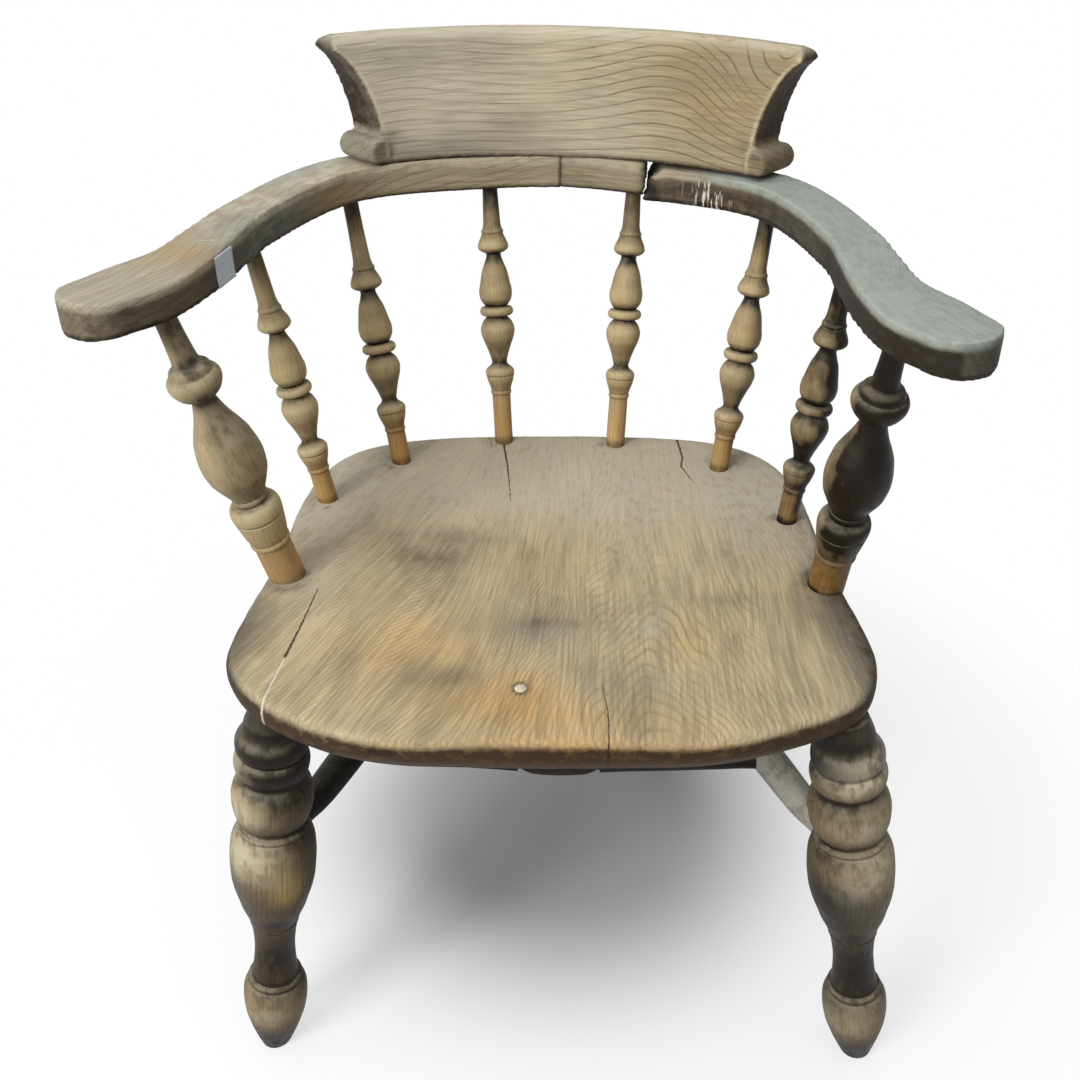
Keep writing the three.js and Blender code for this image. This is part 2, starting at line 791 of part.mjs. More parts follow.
const sideStretchers = [
  ['side_stretcher_left', legs[0], legs[2]],
  ['side_stretcher_right', legs[1], legs[3]],
].map(([name, front, rear]) => ({
  name,
  front,
  rear,
  ...between(
    onLeg(front, stretcherHeight),
    onLeg(rear, stretcherHeight),
    legVase.diameter / 2,
  ),
}));

const crossStretchers = crossPlaces.map((place, i) => {
  const [left, right] = sideStretchers.map((s) => s.start.clone().lerp(s.end, place));
  const name = `cross_stretcher_${i === 0 ? 'front' : 'rear'}`;
  return { name, ...between(left, right, sideStretcherSwell / 2) };
});

/** Screws through the bow into the crest, in the frame of the bow. */
const crestScrews = [-screwHalfSpan, -screwInnerX, screwInnerX, screwHalfSpan].map((x, i) => {
  const reach = crestFrontRadius + crestFootThickness / 2;
  const centreY = -crestFaceSetback - crestFrontRadius;
  const y = centreY + Math.sqrt(reach * reach - (x - crestShift) * (x - crestShift));
  const frame = bowFrame.clone().multiply(new THREE.Matrix4().makeTranslation(x, y, 0));
  return { name: `crest_screw_${i + 1}`, x, frame };
});

// Finishes of the bare, weathered wood and the few other stuffs
const finish = {
  seat: { color: 0x7a6a54, roughness: 0.78, metalness: 0 },
  arm: { color: 0x7c7a70, roughness: 0.74, metalness: 0 },
  crest: { color: 0x9c8c72, roughness: 0.8, metalness: 0 },
  spindle: { color: 0x867353, roughness: 0.66, metalness: 0 },
  leg: { color: 0x4c4238, roughness: 0.7, metalness: 0 },
  stretcher: { color: 0x5c5346, roughness: 0.75, metalness: 0 },
  steel: { color: 0x4a4643, roughness: 0.55, metalness: 0.9 },
  plug: { color: 0xb9ab90, roughness: 0.7, metalness: 0 },
  paper: { color: 0xc9d8e6, roughness: 0.85, metalness: 0 },
};

const chair = new THREE.Group();

/** Adds a piece: a local geometry, its frame and the cutters that pass through it. */
function addPiece(name, geometry, frame, look, cutters = []) {
  let shape = geometry;
  if (cutters.length > 0) {
    const inverse = frame.clone().invert();
    let solid = toSolid(geometry);
    for (const cutter of cutters) {
      solid = solid.subtract(toSolid(cutter.shape, inverse.clone().multiply(cutter.frame)));
    }
    shape = toGeometry(solid);
  }
  const mesh = new THREE.Mesh(shape, new THREE.MeshStandardMaterial(look));
  mesh.name = name;
  mesh.applyMatrix4(frame);
  chair.add(mesh);
}

// Seat, with its sockets for the uprights, the legs and the plug
const seatFrame = new THREE.Matrix4().makeTranslation(0, 0, seatUnderside)
  .multiply(new THREE.Matrix4().makeRotationZ(radians(seatTurn)));
const plugFrame = new THREE.Matrix4().makeTranslation(plugX, plugY, seatTopHeight - fitGap);
const seatCutters = [
  ...uprights.map((u) => {
    const diameter = (u.isSupport ? supportBase.diameter : spindleBase.diameter) + 2 * fitGap;
    return { shape: bar(diameter, -uprightSocketDepth, uprightSocketDepth), frame: u.frame };
  }),
  ...legs.map((leg) => {
    const diameter = legTenonDiameter + 2 * fitGap;
    const low = leg.length - seatThickness;
    return { shape: bar(diameter, low, leg.length + legTenonLength + fitGap), frame: leg.frame };
  }),
  { shape: bar(plugDiameter + 2 * fitGap, -plugLength - fitGap, plugLength), frame: plugFrame },
];
addPiece('seat', toGeometry(seatSolid()), seatFrame, finish.seat, seatCutters);
addPiece('seat_plug', bar(plugDiameter, -plugLength, 0), plugFrame, finish.plug);

/** The hole that one end of a round bar runs in, with its fit, in the frame of the bar. */
function endSocket(diameter, depth, length, atStart, clear) {
  const width = diameter + 2 * fitGap;
  return atStart ? bar(width, -depth, clear) : bar(width, length - clear, length + depth);
}

// Legs, cut level with the floor, fitted under the seat and bored for the side stretchers
const slabSpan = 4 * seatFrontHalf;
const floorCut = new THREE.BoxGeometry(slabSpan, slabSpan, legFoot.rise)
  .translate(0, 0, -legFoot.rise / 2);
const seatCut = new THREE.BoxGeometry(slabSpan, slabSpan, 2 * legTenonLength)
  .translate(0, 0, seatUnderside - fitGap + legTenonLength);
for (const leg of legs) {
  const tenon = bar(legTenonDiameter, 0, leg.length + 2 * legTenonLength);
  const shoulder = toGeometry(toSolid(seatCut).subtract(toSolid(tenon, leg.frame)));
  const bores = sideStretchers.filter((s) => s.front === leg || s.rear === leg).map((s) => ({
    shape: endSocket(
      sideStretcherEnd, sideSocketDepth, s.length, s.front === leg, legVase.diameter / 2,
    ),
    frame: s.frame,
  }));
  const level = new THREE.Matrix4();
  const cuts = [{ shape: floorCut, frame: level }, { shape: shoulder, frame: level }, ...bores];
  addPiece(leg.name, legGeometry(leg.length), leg.frame, finish.leg, cuts);
}

// Stretchers, the side ones bored for the cross ones
for (const s of sideStretchers) {
  const bores = crossStretchers.map((c) => ({
    shape: endSocket(
      crossStretcherEnd, crossSocketDepth, c.length, s === sideStretchers[0], sideStretcherSwell,
    ),
    frame: c.frame,
  }));
  addPiece(s.name, sideStretcherGeometry(s.length), s.frame, finish.stretcher, bores);
}
for (const c of crossStretchers) {
  addPiece(c.name, crossStretcherGeometry(c.length), c.frame, finish.stretcher);
}

// Uprights
for (const u of uprights) {
  const base = spindleBase.length + (u.isBack ? spindleBackExtra : 0);
  const geometry = u.isSupport ? supportGeometry(u.length) : spindleGeometry(u.length, base);
  addPiece(u.name, geometry, u.frame, finish.spindle);
}

// Bow: the whole left arm, the stub that stayed under the crest and the sagging right arm
const halfBow = toSolid(halfBowGeometry());
const afterCentre = toSolid(leftOfCut(fitGap / 2));
const stub = halfBow.subtract(afterCentre).intersect(toSolid(leftOfBreak(breakX)));
const rightArm = halfBow.subtract(toSolid(leftOfBreak(breakX + breakGap)));
const chip = new THREE.BoxGeometry(chipWidth * 2, bowBackWidth, chipDepth * 2)
  .translate(breakX + breakGap, -bowBackWidth / 2 + chipDepth + backSocketY, bowThickness);
const leftArm = toSolid(toGeometry(halfBow.subtract(afterCentre)), mirrorX);

/** Sockets and screw holes in one piece of the bow. */
function bowCutters(name) {
  const sockets = uprights.filter((u) => u.carried === name).map((u) => {
    const diameter = (u.isSupport ? supportTop.diameter : spindleTop.diameter) + 2 * fitGap;
    const low = u.length - bowSocketDepth;
    return { shape: bar(diameter, low, u.length + bowSocketDepth), frame: u.frame };
  });
  const worn = name === 'arm_right';
  const holes = crestScrews
    .filter((s) => (name === 'arm_left' ? s.x < 0 : s.x > 0 && (s.x > breakX) === worn))
    .map((s) => ({ shape: screwHole(worn ? screwWornHole : 0), frame: s.frame }));
  return [...sockets, ...holes];
}
addPiece('arm_left', toGeometry(leftArm), bowFrame, finish.arm, bowCutters('arm_left'));
addPiece('bow_stub', toGeometry(stub), bowFrame, finish.arm, bowCutters('bow_stub'));
addPiece('arm_right', toGeometry(rightArm.subtract(toSolid(chip))), sagFrame, finish.arm,
  bowCutters('arm_right'));

// Crest rail and the screws that come up into it
const crestHoles = crestScrews.map((s) => ({ shape: screwHole(0), frame: s.frame }));
addPiece('crest_rail', toGeometry(crestSolid()), bowFrame, finish.crest, crestHoles);
for (const s of crestScrews) {
  addPiece(s.name, screwGeometry(), s.frame, finish.steel);
}

// Blank paper label on the inner face of the left arm
const [labelFrom, labelTo] = bowEdge(-1).slice(labelStep, labelStep + 2);
const labelMiddle = labelFrom.clone().add(labelTo).multiplyScalar(0.5);
const labelRun = labelTo.clone().sub(labelFrom).normalize();
const labelOff = fitGap + labelThickness / 2;
const labelFrame = bowFrame.clone()
  .multiply(new THREE.Matrix4().makeTranslation(
    -(labelMiddle.x + labelRun.y * labelOff),
    labelMiddle.y - labelRun.x * labelOff,
    bowThickness / 2,
  ))
  .multiply(new THREE.Matrix4().makeRotationZ(Math.atan2(labelRun.x, labelRun.y)));
addPiece('paper_label', new THREE.BoxGeometry(labelThickness, labelWidth, labelHeight),
  labelFrame, finish.paper);

// The origin is the middle of the floor space that the chair covers
chair.updateMatrixWorld(true);
const reach = new THREE.Box3().setFromObject(chair, true);
const middle = reach.getCenter(new THREE.Vector3());
chair.position.set(-middle.x, -middle.y, -reach.min.z);

export default chair;
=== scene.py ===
"""Dresses a broken bow-arm chair of bare, weathered wood for its portrait.

Sizes are in millimetres, in the frame that the chair was drawn in, until a piece is finished. Its
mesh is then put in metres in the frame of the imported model.
"""

import logging
import math
from dataclasses import dataclass
from enum import Enum

import bmesh
import bpy
import numpy as np
from mathutils import Matrix, Vector, noise


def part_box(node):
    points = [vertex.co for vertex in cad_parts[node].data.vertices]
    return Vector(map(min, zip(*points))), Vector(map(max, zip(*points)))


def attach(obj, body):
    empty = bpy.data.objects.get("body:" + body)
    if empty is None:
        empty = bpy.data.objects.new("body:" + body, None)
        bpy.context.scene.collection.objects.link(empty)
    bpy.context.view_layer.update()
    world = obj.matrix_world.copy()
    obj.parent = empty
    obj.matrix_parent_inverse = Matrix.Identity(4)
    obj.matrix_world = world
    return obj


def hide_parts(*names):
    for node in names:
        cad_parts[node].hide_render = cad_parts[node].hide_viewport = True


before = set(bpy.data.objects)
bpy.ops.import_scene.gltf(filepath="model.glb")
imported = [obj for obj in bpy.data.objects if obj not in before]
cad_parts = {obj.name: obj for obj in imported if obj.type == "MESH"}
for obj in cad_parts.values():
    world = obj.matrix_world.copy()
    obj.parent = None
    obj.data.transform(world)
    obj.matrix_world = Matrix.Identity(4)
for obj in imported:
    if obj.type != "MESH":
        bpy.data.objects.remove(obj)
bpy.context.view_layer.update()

LOG = logging.getLogger("chair")
MM = 0.001
# Points closer than this are one point
TOUCHING = 1e-6
# Where the peg stands in the seat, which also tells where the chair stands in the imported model
PEG = (-16.0, -188.0)
Point = tuple[float, float]
Fields = dict[str, np.ndarray]

# Settings and inputs that many nodes share
TIMES = {"operation": "MULTIPLY"}
PLUS = {"operation": "ADD"}
TIMES_PLUS = {"operation": "MULTIPLY_ADD"}
SOFT = {"interpolation_type": "SMOOTHSTEP"}
BLEND = {"data_type": "RGBA", "out": 2}
SHARE, UNDER, OVER = 0, 6, 7


# Finishes


def linear(code: str) -> tuple[float, ...]:
    """Turns an sRGB hex colour into linear light, with full opacity."""
    parts = [int(code[i:i + 2], 16) / 255 for i in (1, 3, 5)]
    return tuple(v / 12.92 if v <= 0.04045 else ((v + 0.055) / 1.055) ** 2.4 for v in parts) + (1.0,)


class Board:
    """The node board of one material, or of the room."""

    def __init__(self, owner: bpy.types.Material | bpy.types.World) -> None:
        """Turns the owner's nodes on and clears them.

        Args:
            owner: The material or the room.
        """
        owner.use_nodes = True
        self.tree = owner.node_tree
        self.tree.nodes.clear()

    def add(self, kind: str, inputs: dict | tuple = (), out: int | str = 0,
            **settings: object) -> bpy.types.NodeSocket | bpy.types.Node:
        """Adds one node with its settings and links.

        Args:
            kind: The node's type, without the ShaderNode prefix.
            inputs: A number, a hex colour or another node's output for each input, in order or
                by name or number.
            out: The output to hand back, by name or number.
            **settings: The node's own settings.

        Returns:
            The output socket, or the node where it has none.
        """
        node = self.tree.nodes.new("ShaderNode" + kind)
        for key, value in settings.items():
            setattr(node, key, value)
        given = inputs if isinstance(inputs, dict) else dict(enumerate(inputs))
        for key, value in given.items():
            if isinstance(value, bpy.types.NodeSocket):
                self.tree.links.new(value, node.inputs[key])
            else:
                node.inputs[key].default_value = linear(value) if isinstance(value, str) else value
        return node.outputs[out] if node.outputs else node


@dataclass(frozen=True)
class Wood:
    """Bare open-grained hardwood that has lost its polish, with dust and old grime on it, and with
    painted shade and painted highlights.

    Colours are sRGB hex. Lengths are millimetres on the piece, and relief is in metres.
    """

    name: str
    pale: str
    line: str
    warm: str
    cool: str
    grime_and_shade: str
    dust: str
    worn: str
    ring: float = 8.0
    line_share: float = 0.3
    line_strength: float = 0.6
    wobble: float = 0.5
    pore_strength: float = 0.5
    dust_and_highlight_on_top: float = 0.3
    roughness: float = 0.75
    relief: float = 0.0006
    streak: float = 0.18
    ragged: float = 0.72
    cracked: bool = False
    drips: bool = False
    shine: float = 0.2

    def build(self) -> bpy.types.Material:
        """Draws year rings, pores, stains, grime with painted shade, and dust and wear with painted
        highlights.

        Returns:
            The material.
        """
        material = bpy.data.materials.new(self.name)
        add = Board(material).add
        grain = add("Attribute", out="Vector", attribute_name="grain")
        rings = add("Attribute", out="Fac", attribute_name="rings")
        figure = add("Attribute", out="Fac", attribute_name="figure")
        mask = add("SeparateXYZ", (add("Attribute", out="Vector", attribute_name="mask"),))
        dust_mask, grime_and_shade_mask, wear_and_highlight_mask = mask.node.outputs[:]
        tint = add("SeparateXYZ", (add("Attribute", out="Vector", attribute_name="tint"),))
        warm_mask, cool_mask, paint_mask = tint.node.outputs[:]

        # Spots drawn out along the grain: their width and length in mm, detail and seed. Pores
        # are 0.3 mm wide in the real wood and are drawn 1.2 mm wide, so that they show. The last
        # kind makes a crack stray.
        kinds = ((1.2, 26.0, 2.0, 0.0), (2.6, 60.0, 4.0, 3.1), (34.0, 130.0, 2.0, 7.7),
                 (60.0, 95.0, 3.0, 1.3), (8.0, 13.0, 4.0, 5.9), (3.0, 5.0, 2.0, 9.0))
        spots = []
        for wide, long, detail, seed in kinds if self.cracked else kinds[:-1]:
            place = add("VectorMath", (grain, (1 / wide, 1 / wide, 1 / long)), **TIMES)
            moved = add("VectorMath", (place, (seed, seed, seed)), **PLUS)
            spots.append(add("TexNoise", {"Vector": moved, "Scale": 1.0, "Detail": detail}))
        pores, fibre, wander, cloud, mottle = spots[:5]

        # A year ring starts sharply, fades over its share and is broken up by the fibre
        sway = add("Math", (wander, self.wobble), **TIMES)
        count = add("Math", (rings, 1 / self.ring, sway), **TIMES_PLUS)
        phase = add("Math", (count,), operation="FRACT")
        fade = add("MapRange", (phase, 0.0, self.line_share, 1.0, 0.0), **SOFT)
        start = add("MapRange", (phase, 0.93, 1.0), **SOFT)
        line = add("Math", (fade, start), operation="MAXIMUM")
        line = add("Math", (line, figure), **TIMES)
        line = add("Math", (line, add("MapRange", (fibre, 0.3, 0.6, 0.3, 1.0), **SOFT)), **TIMES)
        crowd = add("Math", (line, 0.6, 0.4), **TIMES_PLUS)
        pore = add("Math", (add("MapRange", (pores, 0.55, 0.68), **SOFT), crowd), **TIMES)

        colour = self.pale
        for part, by, over in (
                (warm_mask, add("MapRange", (cloud, 0.3, 0.6, 0.7, 1.0), **SOFT), self.warm),
                (cool_mask, add("MapRange", (mottle, 0.3, 0.7, 0.6, 1.0), **SOFT), self.cool),
                (line, self.line_strength, self.line), (pore, self.pore_strength, self.line)):
            share = add("Math", (part, by), **TIMES)
            colour = add("Mix", {SHARE: share, UNDER: colour, OVER: over}, **BLEND)
        light = add("MapRange", (fibre, 0.25, 0.75, 1 - self.streak, 1 + self.streak), **SOFT)
        tone = add("Math", (light, add("MapRange", (cloud, 0.3, 0.7, 0.86, 1.1), **SOFT)), **TIMES)
        colour = add("VectorMath", {0: colour, "Scale": tone}, operation="SCALE")

        # Rubbed places, which also carry painted highlights, then grime with painted shade, then dust
        # on all that faces up, which also paints a highlight there
        rub = add("MapRange", (mottle, 0.35, 0.6, 0.3, 1.0), **SOFT)
        wear = add("Math", (wear_and_highlight_mask, rub), **TIMES)
        patchy = add("MapRange", (mottle, 0.3, 0.7, 1.14, 0.86), **SOFT)
        dirt_and_shade = add("Math", (add("Math", (grime_and_shade_mask, patchy), **TIMES), 1.0), use_clamp=True,
                   operation="MINIMUM")
        # Dust on all that faces up, which also paints a highlight there
        facing = add("SeparateXYZ", (add("NewGeometry", out="Normal"),), out="Z")
        upward = add("MapRange", (facing, 0.15, 0.95), **SOFT)
        top_dust_and_highlight = add("Math", (upward, self.dust_and_highlight_on_top), **TIMES)
        dust_with_top_highlight = add("Math", (dust_mask, top_dust_and_highlight), use_clamp=True, **PLUS)
        swept = add("MapRange", (mottle, 0.36, 0.56, self.ragged, 1.0), **SOFT)
        dusty = add("Math", (dust_with_top_highlight, swept), **TIMES)
        for share, over in ((wear, self.worn), (dirt_and_shade, self.grime_and_shade), (dusty, self.dust)):
            colour = add("Mix", {SHARE: share, UNDER: colour, OVER: over}, **BLEND)

        height = add("Math", (line, -0.35), **TIMES)
        for part, rise in ((pore, -0.5), (fibre, 0.5), (mottle, 0.35)):
            height = add("Math", (part, rise, height), **TIMES_PLUS)
        if self.drips:
            # Paint that ran down the inner face in threads 3 mm wide and 17 mm long
            place = add("TexCoord", out="Object")
            thread = add("VectorMath", (place, (330.0, 330.0, 60.0)), **TIMES)
            runs = add("TexNoise", {"Vector": thread, "Scale": 1.0, "Detail": 3.0})
            paint = add("Math", (paint_mask, add("MapRange", (runs, 0.56, 0.62), **SOFT)), **TIMES)
            colour = add("Mix", {SHARE: paint, UNDER: colour, OVER: "#d6d5ca"}, **BLEND)
            height = add("Math", (height, paint), **PLUS)
        if self.cracked:
            # A crack strays about 1 mm from its line, and is dark inside or full of pale filler
            split = add("SeparateXYZ", (add("Attribute", out="Vector", attribute_name="split"),))
            away, width, filler = split.node.outputs[:]
            stray = add("Math", (add("Math", (spots[-1], -0.5), **PLUS), 2.4, away), **TIMES_PLUS)
            distance = add("Math", (stray,), operation="ABSOLUTE")
            lip = add("Math", (width, 0.3), **TIMES)
            gap = add("MapRange", (distance, lip, width, 1.0, 0.0))
            there = add("Math", (width, 0.05), operation="GREATER_THAN")
            gap = add("Math", (gap, there), **TIMES)
            inside = add("Mix", {SHARE: filler, UNDER: "#20170f", OVER: "#cbc5b4"}, **BLEND)
            share = add("Math", (gap, 0.92), **TIMES)
            colour = add("Mix", {SHARE: share, UNDER: colour, OVER: inside}, **BLEND)
            height = add("Math", (gap, -2.0, height), **TIMES_PLUS)

        dull = add("MapRange", (mottle, 0.3, 0.7, self.roughness - 0.09, self.roughness + 0.05),
                   **SOFT)
        dull = add("Math", (dusty, 0.12, dull), **TIMES_PLUS)
        dull = add("Math", (dirt_and_shade, -0.1, dull), **TIMES_PLUS)
        bump = add("Bump", {"Height": height, "Strength": 0.7, "Distance": self.relief})
        shader = add("BsdfPrincipled", {"Base Color": colour, "Roughness": dull, "Normal": bump,
                                        "Specular IOR Level": self.shine})
        add("OutputMaterial", (shader,))
        return material


@dataclass(frozen=True)
class Steel:
    """Drawn steel wire, dulled brown by rust."""

    name: str = "drawn_steel_rusted"
    bare: str = "#6b6762"
    rust: str = "#4a2c1c"

    def build(self) -> bpy.types.Material:
        """Mixes bare metal and rust in 2 mm blots.

        Returns:
            The material.
        """
        material = bpy.data.materials.new(self.name)
        add = Board(material).add
        place = add("TexCoord", out="Object")
        blots = add("TexNoise", {"Vector": place, "Scale": 500.0, "Detail": 4.0})
        rust = add("MapRange", (blots, 0.42, 0.58), **SOFT)
        colour = add("Mix", {SHARE: rust, UNDER: self.bare, OVER: self.rust}, **BLEND)
        dull = add("MapRange", (rust, 0.0, 1.0, 0.4, 0.85))
        bump = add("Bump", {"Height": blots, "Strength": 0.5, "Distance": 0.0002})
        shader = add("BsdfPrincipled", {"Base Color": colour, "Metallic": 0.75, "Roughness": dull,
                                        "Normal": bump})
        add("OutputMaterial", (shader,))
        return material


@dataclass(frozen=True)
class Paper:
    """Gummed paper ticket, blank, with a soft blue cast and rubbed corners."""

    name: str = "gummed_paper_blank"
    clean: str = "#d3dfea"
    soiled: str = "#a9b7c6"

    def build(self) -> bpy.types.Material:
        """Draws paper fibre about 1 mm long and faint handling marks.

        Returns:
            The material.
        """
        material = bpy.data.materials.new(self.name)
        add = Board(material).add
        place = add("TexCoord", out="Object")
        fibre = add("TexNoise", {"Vector": place, "Scale": 900.0, "Detail": 4.0})
        marks = add("TexNoise", {"Vector": place, "Scale": 130.0, "Detail": 3.0})
        soil = add("MapRange", (marks, 0.5, 0.75, 0.0, 0.5), **SOFT)
        colour = add("Mix", {SHARE: soil, UNDER: self.clean, OVER: self.soiled}, **BLEND)
        bump = add("Bump", {"Height": fibre, "Strength": 0.4, "Distance": 0.0001})
        shader = add("BsdfPrincipled", {"Base Color": colour, "Roughness": 0.8, "Normal": bump})
        add("OutputMaterial", (shader,))
        return material


@dataclass(frozen=True)
class Plaster:
    """Trowelled plaster floor, matt: a painted grey shadow where the chair stands, white a step away
    from it.
    """

    name: str = "trowelled_plaster_pale"
    shadow_greys: tuple = ("#bbbbbb", "#c1c1c1")
    clean: str = "#ffffff"
    bounce: str = "#8c8c8c"
    chair: tuple = (-0.02, -0.08, 0)

    def build(self) -> bpy.types.Material:
        """Draws the floor, which the eye and reflections see white beyond the chair's shadow, and grey
        with a painted shadow under it.

        Returns:
            The material.
        """
        material = bpy.data.materials.new(self.name)
        add = Board(material).add
        place = add("TexCoord", out="Object")
        grit = add("TexNoise", {"Vector": place, "Scale": 3.0, "Detail": 3.0})
        away = add("VectorMath", (add("VectorMath", (place, self.chair), **PLUS),), out="Value",
                   operation="LENGTH")
        # Painted shadow: grey round the chair, white beyond 0.38 m
        step = add("MapRange", (away, 0.13, 0.38), **SOFT)
        dark, pale = self.shadow_greys
        colour = add("Mix", {SHARE: grit, UNDER: dark, OVER: pale}, **BLEND)
        colour = add("Mix", {SHARE: step, UNDER: colour, OVER: self.clean}, **BLEND)
        # The light that it throws back up is a grey floor's
        seen = add("LightPath")
        rays = seen.node.outputs
        for ray in ("Is Glossy Ray", "Is Transmission Ray"):
            seen = add("Math", (seen, rays[ray]), operation="MAXIMUM")
        colour = add("Mix", {SHARE: seen, UNDER: self.bounce, OVER: colour}, **BLEND)
        matt = add("BsdfPrincipled", {"Base Color": colour, "Roughness": 0.9,
                                      "Specular IOR Level": 0.1})
        white = add("Emission", {"Color": self.clean, "Strength": 1.0})
        far = add("MapRange", (away, 0.36, 0.8, 0.0, 0.34), **SOFT)
        glow = add("Math", (step, 0.66, far), **TIMES_PLUS)
        share = add("Math", (glow, seen), **TIMES)
        add("OutputMaterial", (add("MixShader", (share, matt, white)),))
        return material


class Finish(Enum):
    """The finishes of the chair and its floor, each named for its stuff and how it was worked."""

    # Elm plank, adzed and scraped: brown open rings under pale grey dust
    SEAT = Wood("adzed_elm_weathered", pale="#b09e7c", line="#6f5536", warm="#bd9148",
                cool="#66685f", grime_and_shade="#3c2a17", dust="#b2ab98", worn="#c4b595", ring=5.0,
                line_share=0.42, line_strength=0.5, wobble=1.3, pore_strength=0.66,
                dust_and_highlight_on_top=0.16, relief=0.00045, streak=0.27, ragged=0.5, cracked=True)
    # Sawn ash bow, handled smooth: grey with blue-grey stain towards the hand rests
    ARM = Wood("sawn_ash_handled", pale="#a3957a", line="#5f4e38", warm="#a58252", cool="#5b6665",
               grime_and_shade="#2a231b", dust="#9ca39c", worn="#ccc4ab", ring=7.0, line_strength=0.42,
               wobble=1.2, pore_strength=0.4, dust_and_highlight_on_top=0.16, streak=0.22, drips=True,
               cracked=True)
    # Plain-sawn elm board, scraped flat: pale tan with thin brown year rings
    CREST = Wood("scraped_elm_board", pale="#bbb095", line="#5c452d", warm="#907a58",
                 cool="#aba594", grime_and_shade="#2f2418", dust="#b4ad9b", worn="#cfc3a6", ring=8.8,
                 line_share=0.17, line_strength=0.8, wobble=0.45, pore_strength=0.34,
                 dust_and_highlight_on_top=0.25)
    # Lathe-turned beech: tight grain, ochre where hands and boots kept the dust away
    SPINDLE = Wood("turned_beech_dry", pale="#c2b189", line="#7b6441", warm="#b8863f",
                   cool="#857c69", grime_and_shade="#1a120a", dust="#b5ab92", worn="#c8b78e", ring=4.0,
                   line_strength=0.24, pore_strength=0.42, dust_and_highlight_on_top=0.3, roughness=0.62,
                   relief=0.0003, streak=0.13, ragged=0.4)
    # Lathe-turned beech, dark with floor grime and painted shade: pale where it rubs and where
    # highlights are painted
    LEG = Wood("turned_beech_grimed", pale="#84704f", line="#3f2d1b", warm="#ab894f",
               cool="#5d615c", grime_and_shade="#170e07", dust="#beb499", worn="#a99b7f", ring=4.5,
               line_strength=0.4, pore_strength=0.55, dust_and_highlight_on_top=0.35, roughness=0.6,
               relief=0.0005, streak=0.24, ragged=0.4)
    # Shaved beech bars below the seat: dark, with a coat of dust on top that also paints a highlight
    # there
    STRETCHER = Wood("shaved_beech_dusty", pale="#6d604c", line="#4a3d2d", warm="#7a6444",
                     cool="#565850", grime_and_shade="#15100b", dust="#b8b7aa", worn="#8d8370", ring=5.0,
                     line_strength=0.35, dust_and_highlight_on_top=0.1, roughness=0.7, relief=0.0005,
                     ragged=0.6)
    # Softwood filler peg: pale end grain that shows as a light dot
    PLUG = Wood("softwood_peg_end", pale="#cfc6ad", line="#a3977b", warm="#c9b78d", cool="#a9a594",
                grime_and_shade="#4a3f30", dust="#cbc4b2", worn="#d8d0ba", ring=1.6, line_strength=0.5,
                dust_and_highlight_on_top=0.3)
    # Drawn steel screws, rusted: dull brown heads with little shine left
    STEEL = Steel()
    # Gummed paper, dry: no shine, and a faint blue among all the brown
    PAPER = Paper()
    # Trowelled plaster: matt, so that a soft shadow is all that shows on it, and part of it is painted
    # grey round the chair
    PLASTER = Plaster()


class Palette:
    """Builds each finish once, when it is first asked for."""

    def __init__(self) -> None:
        """Starts with nothing built."""
        self.made: dict[Finish, bpy.types.Material] = {}

    def get(self, finish: Finish) -> bpy.types.Material:
        """Builds a finish if need be.

        Args:
            finish: The finish that is wanted.

        Returns:
            Its material.
        """
        if finish not in self.made:
            self.made[finish] = finish.value.build()
        return self.made[finish]


# Shared workshop


def smoothstep(value: np.ndarray, low: float, high: float) -> np.ndarray:
    """A soft step from 0 to 1 between two levels, which may run downwards."""
    share = np.clip((value - low) / (high - low), 0, 1)
    return share * share * (3 - 2 * share)


def patches(x: np.ndarray, y: np.ndarray, rows: tuple) -> np.ndarray:
    """Adds up soft round patches.

    Args:
        x: First coordinate of each point.
        y: Second coordinate of each point.
        rows: For each patch its strength, the two coordinates of its middle and its two reaches.

    Returns:
        The sum at each point.
    """
    return sum(strength * np.exp(-(((x - at_x) / wide) ** 2 + ((y - at_y) / long) ** 2))
               for strength, at_x, at_y, wide, long in rows)


def ridge(value: np.ndarray, middle: float, reach: float) -> np.ndarray:
    """A soft ridge, 1 at its middle."""
    return np.exp(-((value - middle) / reach) ** 2)


def waver(points: np.ndarray, size: float, seed: float) -> np.ndarray:
    """Smooth noise from -1 to 1 at each point, with spots of a given size."""
    return np.array([noise.noise(Vector(place)) for place in points / size + seed])


def coat(dust: np.ndarray, grime_and_shade: np.ndarray, worn: np.ndarray, warm: np.ndarray,
         cool: np.ndarray, paint: np.ndarray | None = None, thickest: float = 1.0) -> Fields:
    """Packs dirt, painted shade, painted highlights and stains into the two attributes that the woods
    read.

    Args:
        dust: The share of dust at each point.
        grime_and_shade: The share of grime and painted shade.
        worn: The share of wear, which in places is also a painted highlight.
        warm: The share of warm stain.
        cool: The share of cool stain.
        paint: The share of paint, or nothing where there is none.
        thickest: The most that grime and painted shade count for.

    Returns:
        The attributes by name.
    """
    paint = np.zeros(len(dust)) if paint is None else paint
    return {"mask": np.stack([dust, np.clip(grime_and_shade, 0, thickest), worn], 1),
            "tint": np.clip(np.stack([warm, cool, paint], 1), 0, 1)}


def put_in_scene(name: str, data: bpy.types.ID) -> bpy.types.Object:
    """Makes an object of its data and links it into the scene.

    Args:
        name: The name of the object.
        data: Its mesh, lamp or lens.

    Returns:
        The object.
    """
    made = bpy.data.objects.new(name, data)
    bpy.context.collection.objects.link(made)
    return made


